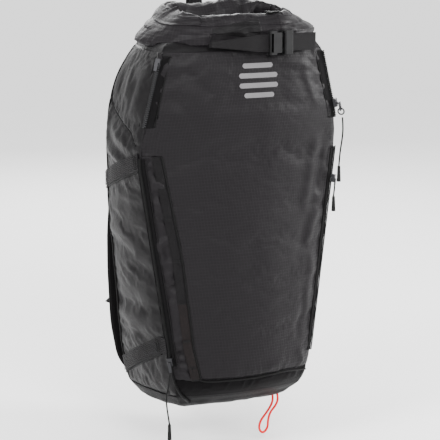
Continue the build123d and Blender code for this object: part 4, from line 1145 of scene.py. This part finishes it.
PAD_SIDE = [(100, 30), (127, 62), (138, 120), (142, 200), (142, 260), (136, 340), (118, 440), (92, 494)]
corners = PAD_SIDE + [(-x, h) for x, h in PAD_SIDE[::-1]]
channels = [(0, 150, 0, 490, 9, -7.0)]
for sign in (-1, 1):
    channels += [(sign * 12, 470 - 84 * k, sign * 128, 440 - 84 * k, 4.5, -4.0) for k in range(4)]
    channels += [(sign * 60, 150, sign * 60, 470, 5, -2.0)]
made, rim = pad("back_pad_foam", corners, 16, 0.2, 18.2, 16, channels)
place(made, ["back_pad"])
place(rim)
corners = [(-88, 44), (88, 44), (88, 140), (-88, 140)]
channels = [(-80, 92, 80, 92, 5, -4.0), (0, 50, 0, 134, 5, -3.5)]
made, rim = pad("lumbar_pad_foam", corners, 30, 18.3, 33.6, 12, channels)
place(made, ["lumbar_pad"])
place(rim)
FIN_ROOT = [(110, 25), (109.2, 30), (105.5, 38.5), (98, 43.4), (90, 45)]
for name, sign in SIDES.items():
    corners = [(sign * 18, 52), (sign * 102, 50), (sign * 104, 128), (sign * 18, 126)][::sign]
    channels = [(sign * 24, 70, sign * 96, 66, 4, -2.0), (sign * 24, 108, sign * 96, 112, 4, -2.0)]
    made, rim = pad(f"hip_fin_foam_{name}", corners, 18, 37, 49, 9, channels)
    place(made, [f"hip_fin_{name}"], f"hip_fin_{name}")
    place(rim, body=f"hip_fin_{name}")
    x, y = np.transpose(FIN_ROOT)
    root = metres(sign * x, y, HIP_HEIGHT)
    made = webbing(f"hip_fin_root_{name}", root, (0, 0, 1), 60 * MM, 3.0 * MM, HEAVY)
    place(made, body=f"hip_fin_{name}")

STRAP_ROUTE = [(24.7, 398), (24.9, 424), (30, 448), (44, 466), (60, 471), (78, 464), (93, 447), (98, 425),
               (98, 390), (98, 340), (98, 290), (97.8, 250), (94, 222), (89, 200), (84, 181)]
for name, sign in SIDES.items():
    line = smooth_path(metres(sign * STRAP_X, *np.transpose(STRAP_ROUTE)), 9)
    face = -np.cross(unit(np.gradient(line, axis=0)), (1, 0, 0))
    turn = np.linspace(0, 2 * math.pi, 60, endpoint=False)
    wide, tall = np.cos(turn), np.sin(turn)
    wide = np.sign(wide) * np.abs(wide) ** 0.55
    tall = np.sign(tall) * np.abs(tall) ** 0.75
    along = lengths_along(line) / MM
    groove = 1 - 0.30 * near(np.abs(wide), 0.62, 0.06)[None] * np.ones((len(line), 1))
    half_wide = 28 - 2.0 * near(along, along[-1], 20)[:, None]
    half_tall = (6 - 1.8 * near(along, along[-1], 12) - 1.2 * near(along, 0, 8))[:, None] * groove
    points = (line[:, None] + np.array([1, 0, 0]) * (wide[None] * half_wide)[..., None] * MM
              + face[:, None] * (tall[None] * half_tall)[..., None] * MM)
    uv = np.stack([np.tile(wide * 0.028, len(line)), np.repeat(along * MM, len(turn))], 1)
    faces = tube_faces(len(line), len(turn))
    made = outward(new_object(f"shoulder_strap_foam_{name}", points.reshape(-1, 3), faces, MESH, uv))
    place(made, [f"shoulder_strap_{name}"])
    for edge_number, edge in enumerate((-1, 1)):
        edge_line = line + np.array([edge * 27.2 * MM, 0, 0])
        piping(f"shoulder_strap_binding_{name}_{edge_number}", edge_line, 1.7)

# ---- inside -------------------------------------------------------------------------
h, x = np.meshgrid(rows(34, 542, 8), np.linspace(-1, 1, 50), indexing="ij")
x = x * (station(h, 2) * 0.35 + station(h, 1) * 0.65 - 7)
wall = metres(x, -124 + 0.8 * noise(x / 40, h / 60, 130), h)
place(shell("compartment_cloth", wall, 1.2, LINING), ["compartment_divider"])
for name, (x0, low, high) in {"left": (-125, 252, 488), "right": (125, 332, 488)}.items():
    turn, h = np.meshgrid(np.linspace(0, 2 * math.pi, 61), rows(low + 3, high - 3, 3), indexing="ij")
    taper = np.clip(np.minimum(h - low, high - h) / 9, 0.35, 1) ** 0.5
    pleat = 1 - 0.08 * np.abs(np.sin(turn * 4 + 0.4 * noise(h / 30, turn, 131)))
    x = x0 + 11.6 * np.cos(turn) * taper * pleat
    y = -52 + 28 * np.sin(turn) * taper * pleat
    rings = metres(x, y, h).transpose(1, 0, 2)[:, :-1]
    faces = tube_faces(len(rings), rings.shape[1])
    uv = rings[..., [1, 2]].reshape(-1, 2)
    made = outward(new_object(f"airbag_folded_{name}", rings.reshape(-1, 3), faces, ORANGE, uv))
    place(made, [f"airbag_{name}"])

# ---- free cords ---------------------------------------------------------------------
CORDS = {
    "pull_cord_front_left": ("slider_front_left", 2.4, 77.7, "fitting", [
        (-118.6, -176.9, 82.2), (-121.5, -179.5, 66), (-127, -180.5, 46), (-124.5, -180, 25),
        (-121, -179, 6)]),
    "pull_cord_shoulder_right": ("pull_ring", 2.4, 72.8, "fitting", [
        (161.4, -176.3, 440.2), (162, -178, 425), (159.6, -179.4, 407), (156.6, -178.4, 388),
        (156, -177, 368)]),
    "pull_cord_front_right": ("slider_front_right", 2.4, 16.5, "fitting", [
        (154.3, -167.4, 337.2), (153.2, -169.6, 333), (151.2, -171.2, 327.5), (150.4, -171.8, 322)]),
    "red_cord_loop": ("pack", 3.5, 141.7, "object", [
        (72, -127, 17.5), (74, -127.5, 7), (69.5, -128.5, -4), (60, -129.5, -15), (50, -131, -25),
        (47, -132, -37), (54, -132.6, -44.5), (62, -132.8, -37), (62.5, -132.6, -24), (66.5, -132.3, -12),
        (76, -132.2, -3), (80.5, -132, 8), (77.5, -132, 18.3)]),
}
SHORTEST_CORD = 30.0
for name, (body, thick, length, far_end, route) in CORDS.items():
    curve = bpy.data.curves.new(f"{name}_line", "CURVE")
    curve.dimensions = "3D"
    spline = curve.splines.new("NURBS")
    spline.points.add(len(route) - 1)
    for point, place_mm in zip(spline.points, route):
        point.co = (*metres(*place_mm), 1)
    spline.order_u = 3
    spline.use_endpoint_u = True
    spline.resolution_u = 10
    curve.bevel_depth = thick * MM / 2
    curve.bevel_resolution = 5
    curve.use_fill_caps = True
    red = name == "red_cord_loop"
    curve.materials.append(RED_BRAID if red else BLACK_BRAID)
    made = bpy.data.objects.new(f"{name}_line", curve)
    bpy.context.scene.collection.objects.link(made)
    place(made, [name], body)
    if length >= SHORTEST_CORD:
        exit_point = tuple(float(c) for c in metres(*route[0]))

# ---- finishes of the CAD nodes that stay --------------------------------------------
FINISHES = {
    "buckle": BLACK_PLASTIC, "chest_guides": BLACK_PLASTIC, "ladder_locks": BLACK_PLASTIC,
    "trigger_dock": BLACK_PLASTIC, "trigger_handle": RED_PLASTIC, "valve_body": ALUMINIUM,
    "gas_cartridge": STEEL, "piercing_pin": STEEL, "release_lever": STEEL, "gas_hoses": RUBBER,
    "release_cable": RUBBER, "frame_sheet": BLACK_PLASTIC, "frame_stays": ALUMINIUM,
    "zip_slider": ZINC, "zip_pull_ring": ZINC, "pull_end": RUBBER,
}
for name, node in nodes.items():
    for word, finish in FINISHES.items():
        if word in name:
            node.data.materials.clear()
            node.data.materials.append(finish)

# ---- room, light and camera ---------------------------------------------------------
FLOOR_Z = float(up(-56.0))
floor_points = [(-4, -5, FLOOR_Z), (4, -5, FLOOR_Z), (4, 4, FLOOR_Z), (-4, 4, FLOOR_Z)]
paper = Shader("pale_paper", Roughness=0.9, Specular_IOR_Level=0.2)
paper_white = paper.finish(paper.mix(paper.noise(3.0), (0.93, 0.93, 0.93), (0.96, 0.96, 0.96)))
floor_sheet = new_object("floor", floor_points, [(0, 1, 2, 3)], paper_white)
world = bpy.data.worlds.new("studio")
world.use_nodes = True
world.node_tree.nodes["Background"].inputs["Color"].default_value = (1, 1, 1, 1)
world.node_tree.nodes["Background"].inputs["Strength"].default_value = 1.7
bpy.context.scene.world = world

TARGET = Vector((0, -0.090, -0.304))


def area_light(name, spot, size, power):
    data = bpy.data.lights.new(name, "AREA")
    data.energy, data.size = power, size
    lamp = bpy.data.objects.new(name, data)
    lamp.location = spot
    lamp.rotation_euler = (TARGET - Vector(spot)).to_track_quat("-Z", "Y").to_euler()
    bpy.context.scene.collection.objects.link(lamp)


area_light("key", (-2.0, -0.9, 0.9), 0.8, 66)
area_light("side_right", (2.1, -0.9, 0.4), 0.6, 90)
area_light("front", (-0.3, -2.2, 1.0), 0.8, 60)
area_light("back", (0.6, 2.2, 0.9), 1.2, 45)

AZIMUTH, ELEVATION, DISTANCE = math.radians(-25), math.radians(10), 2.6
backward = Vector((math.sin(AZIMUTH) * math.cos(ELEVATION), -math.cos(AZIMUTH) * math.cos(ELEVATION),
                   math.sin(ELEVATION)))
lens = bpy.data.cameras.new("camera")
lens.sensor_width, lens.lens = 36.0, 141.9
lens.shift_x, lens.shift_y = 0.0023, -0.0364
camera = bpy.data.objects.new("camera", lens)
camera.location = TARGET + backward * DISTANCE
camera.rotation_euler = backward.to_track_quat("Z", "Y").to_euler()
bpy.context.scene.collection.objects.link(camera)
bpy.context.scene.camera = camera
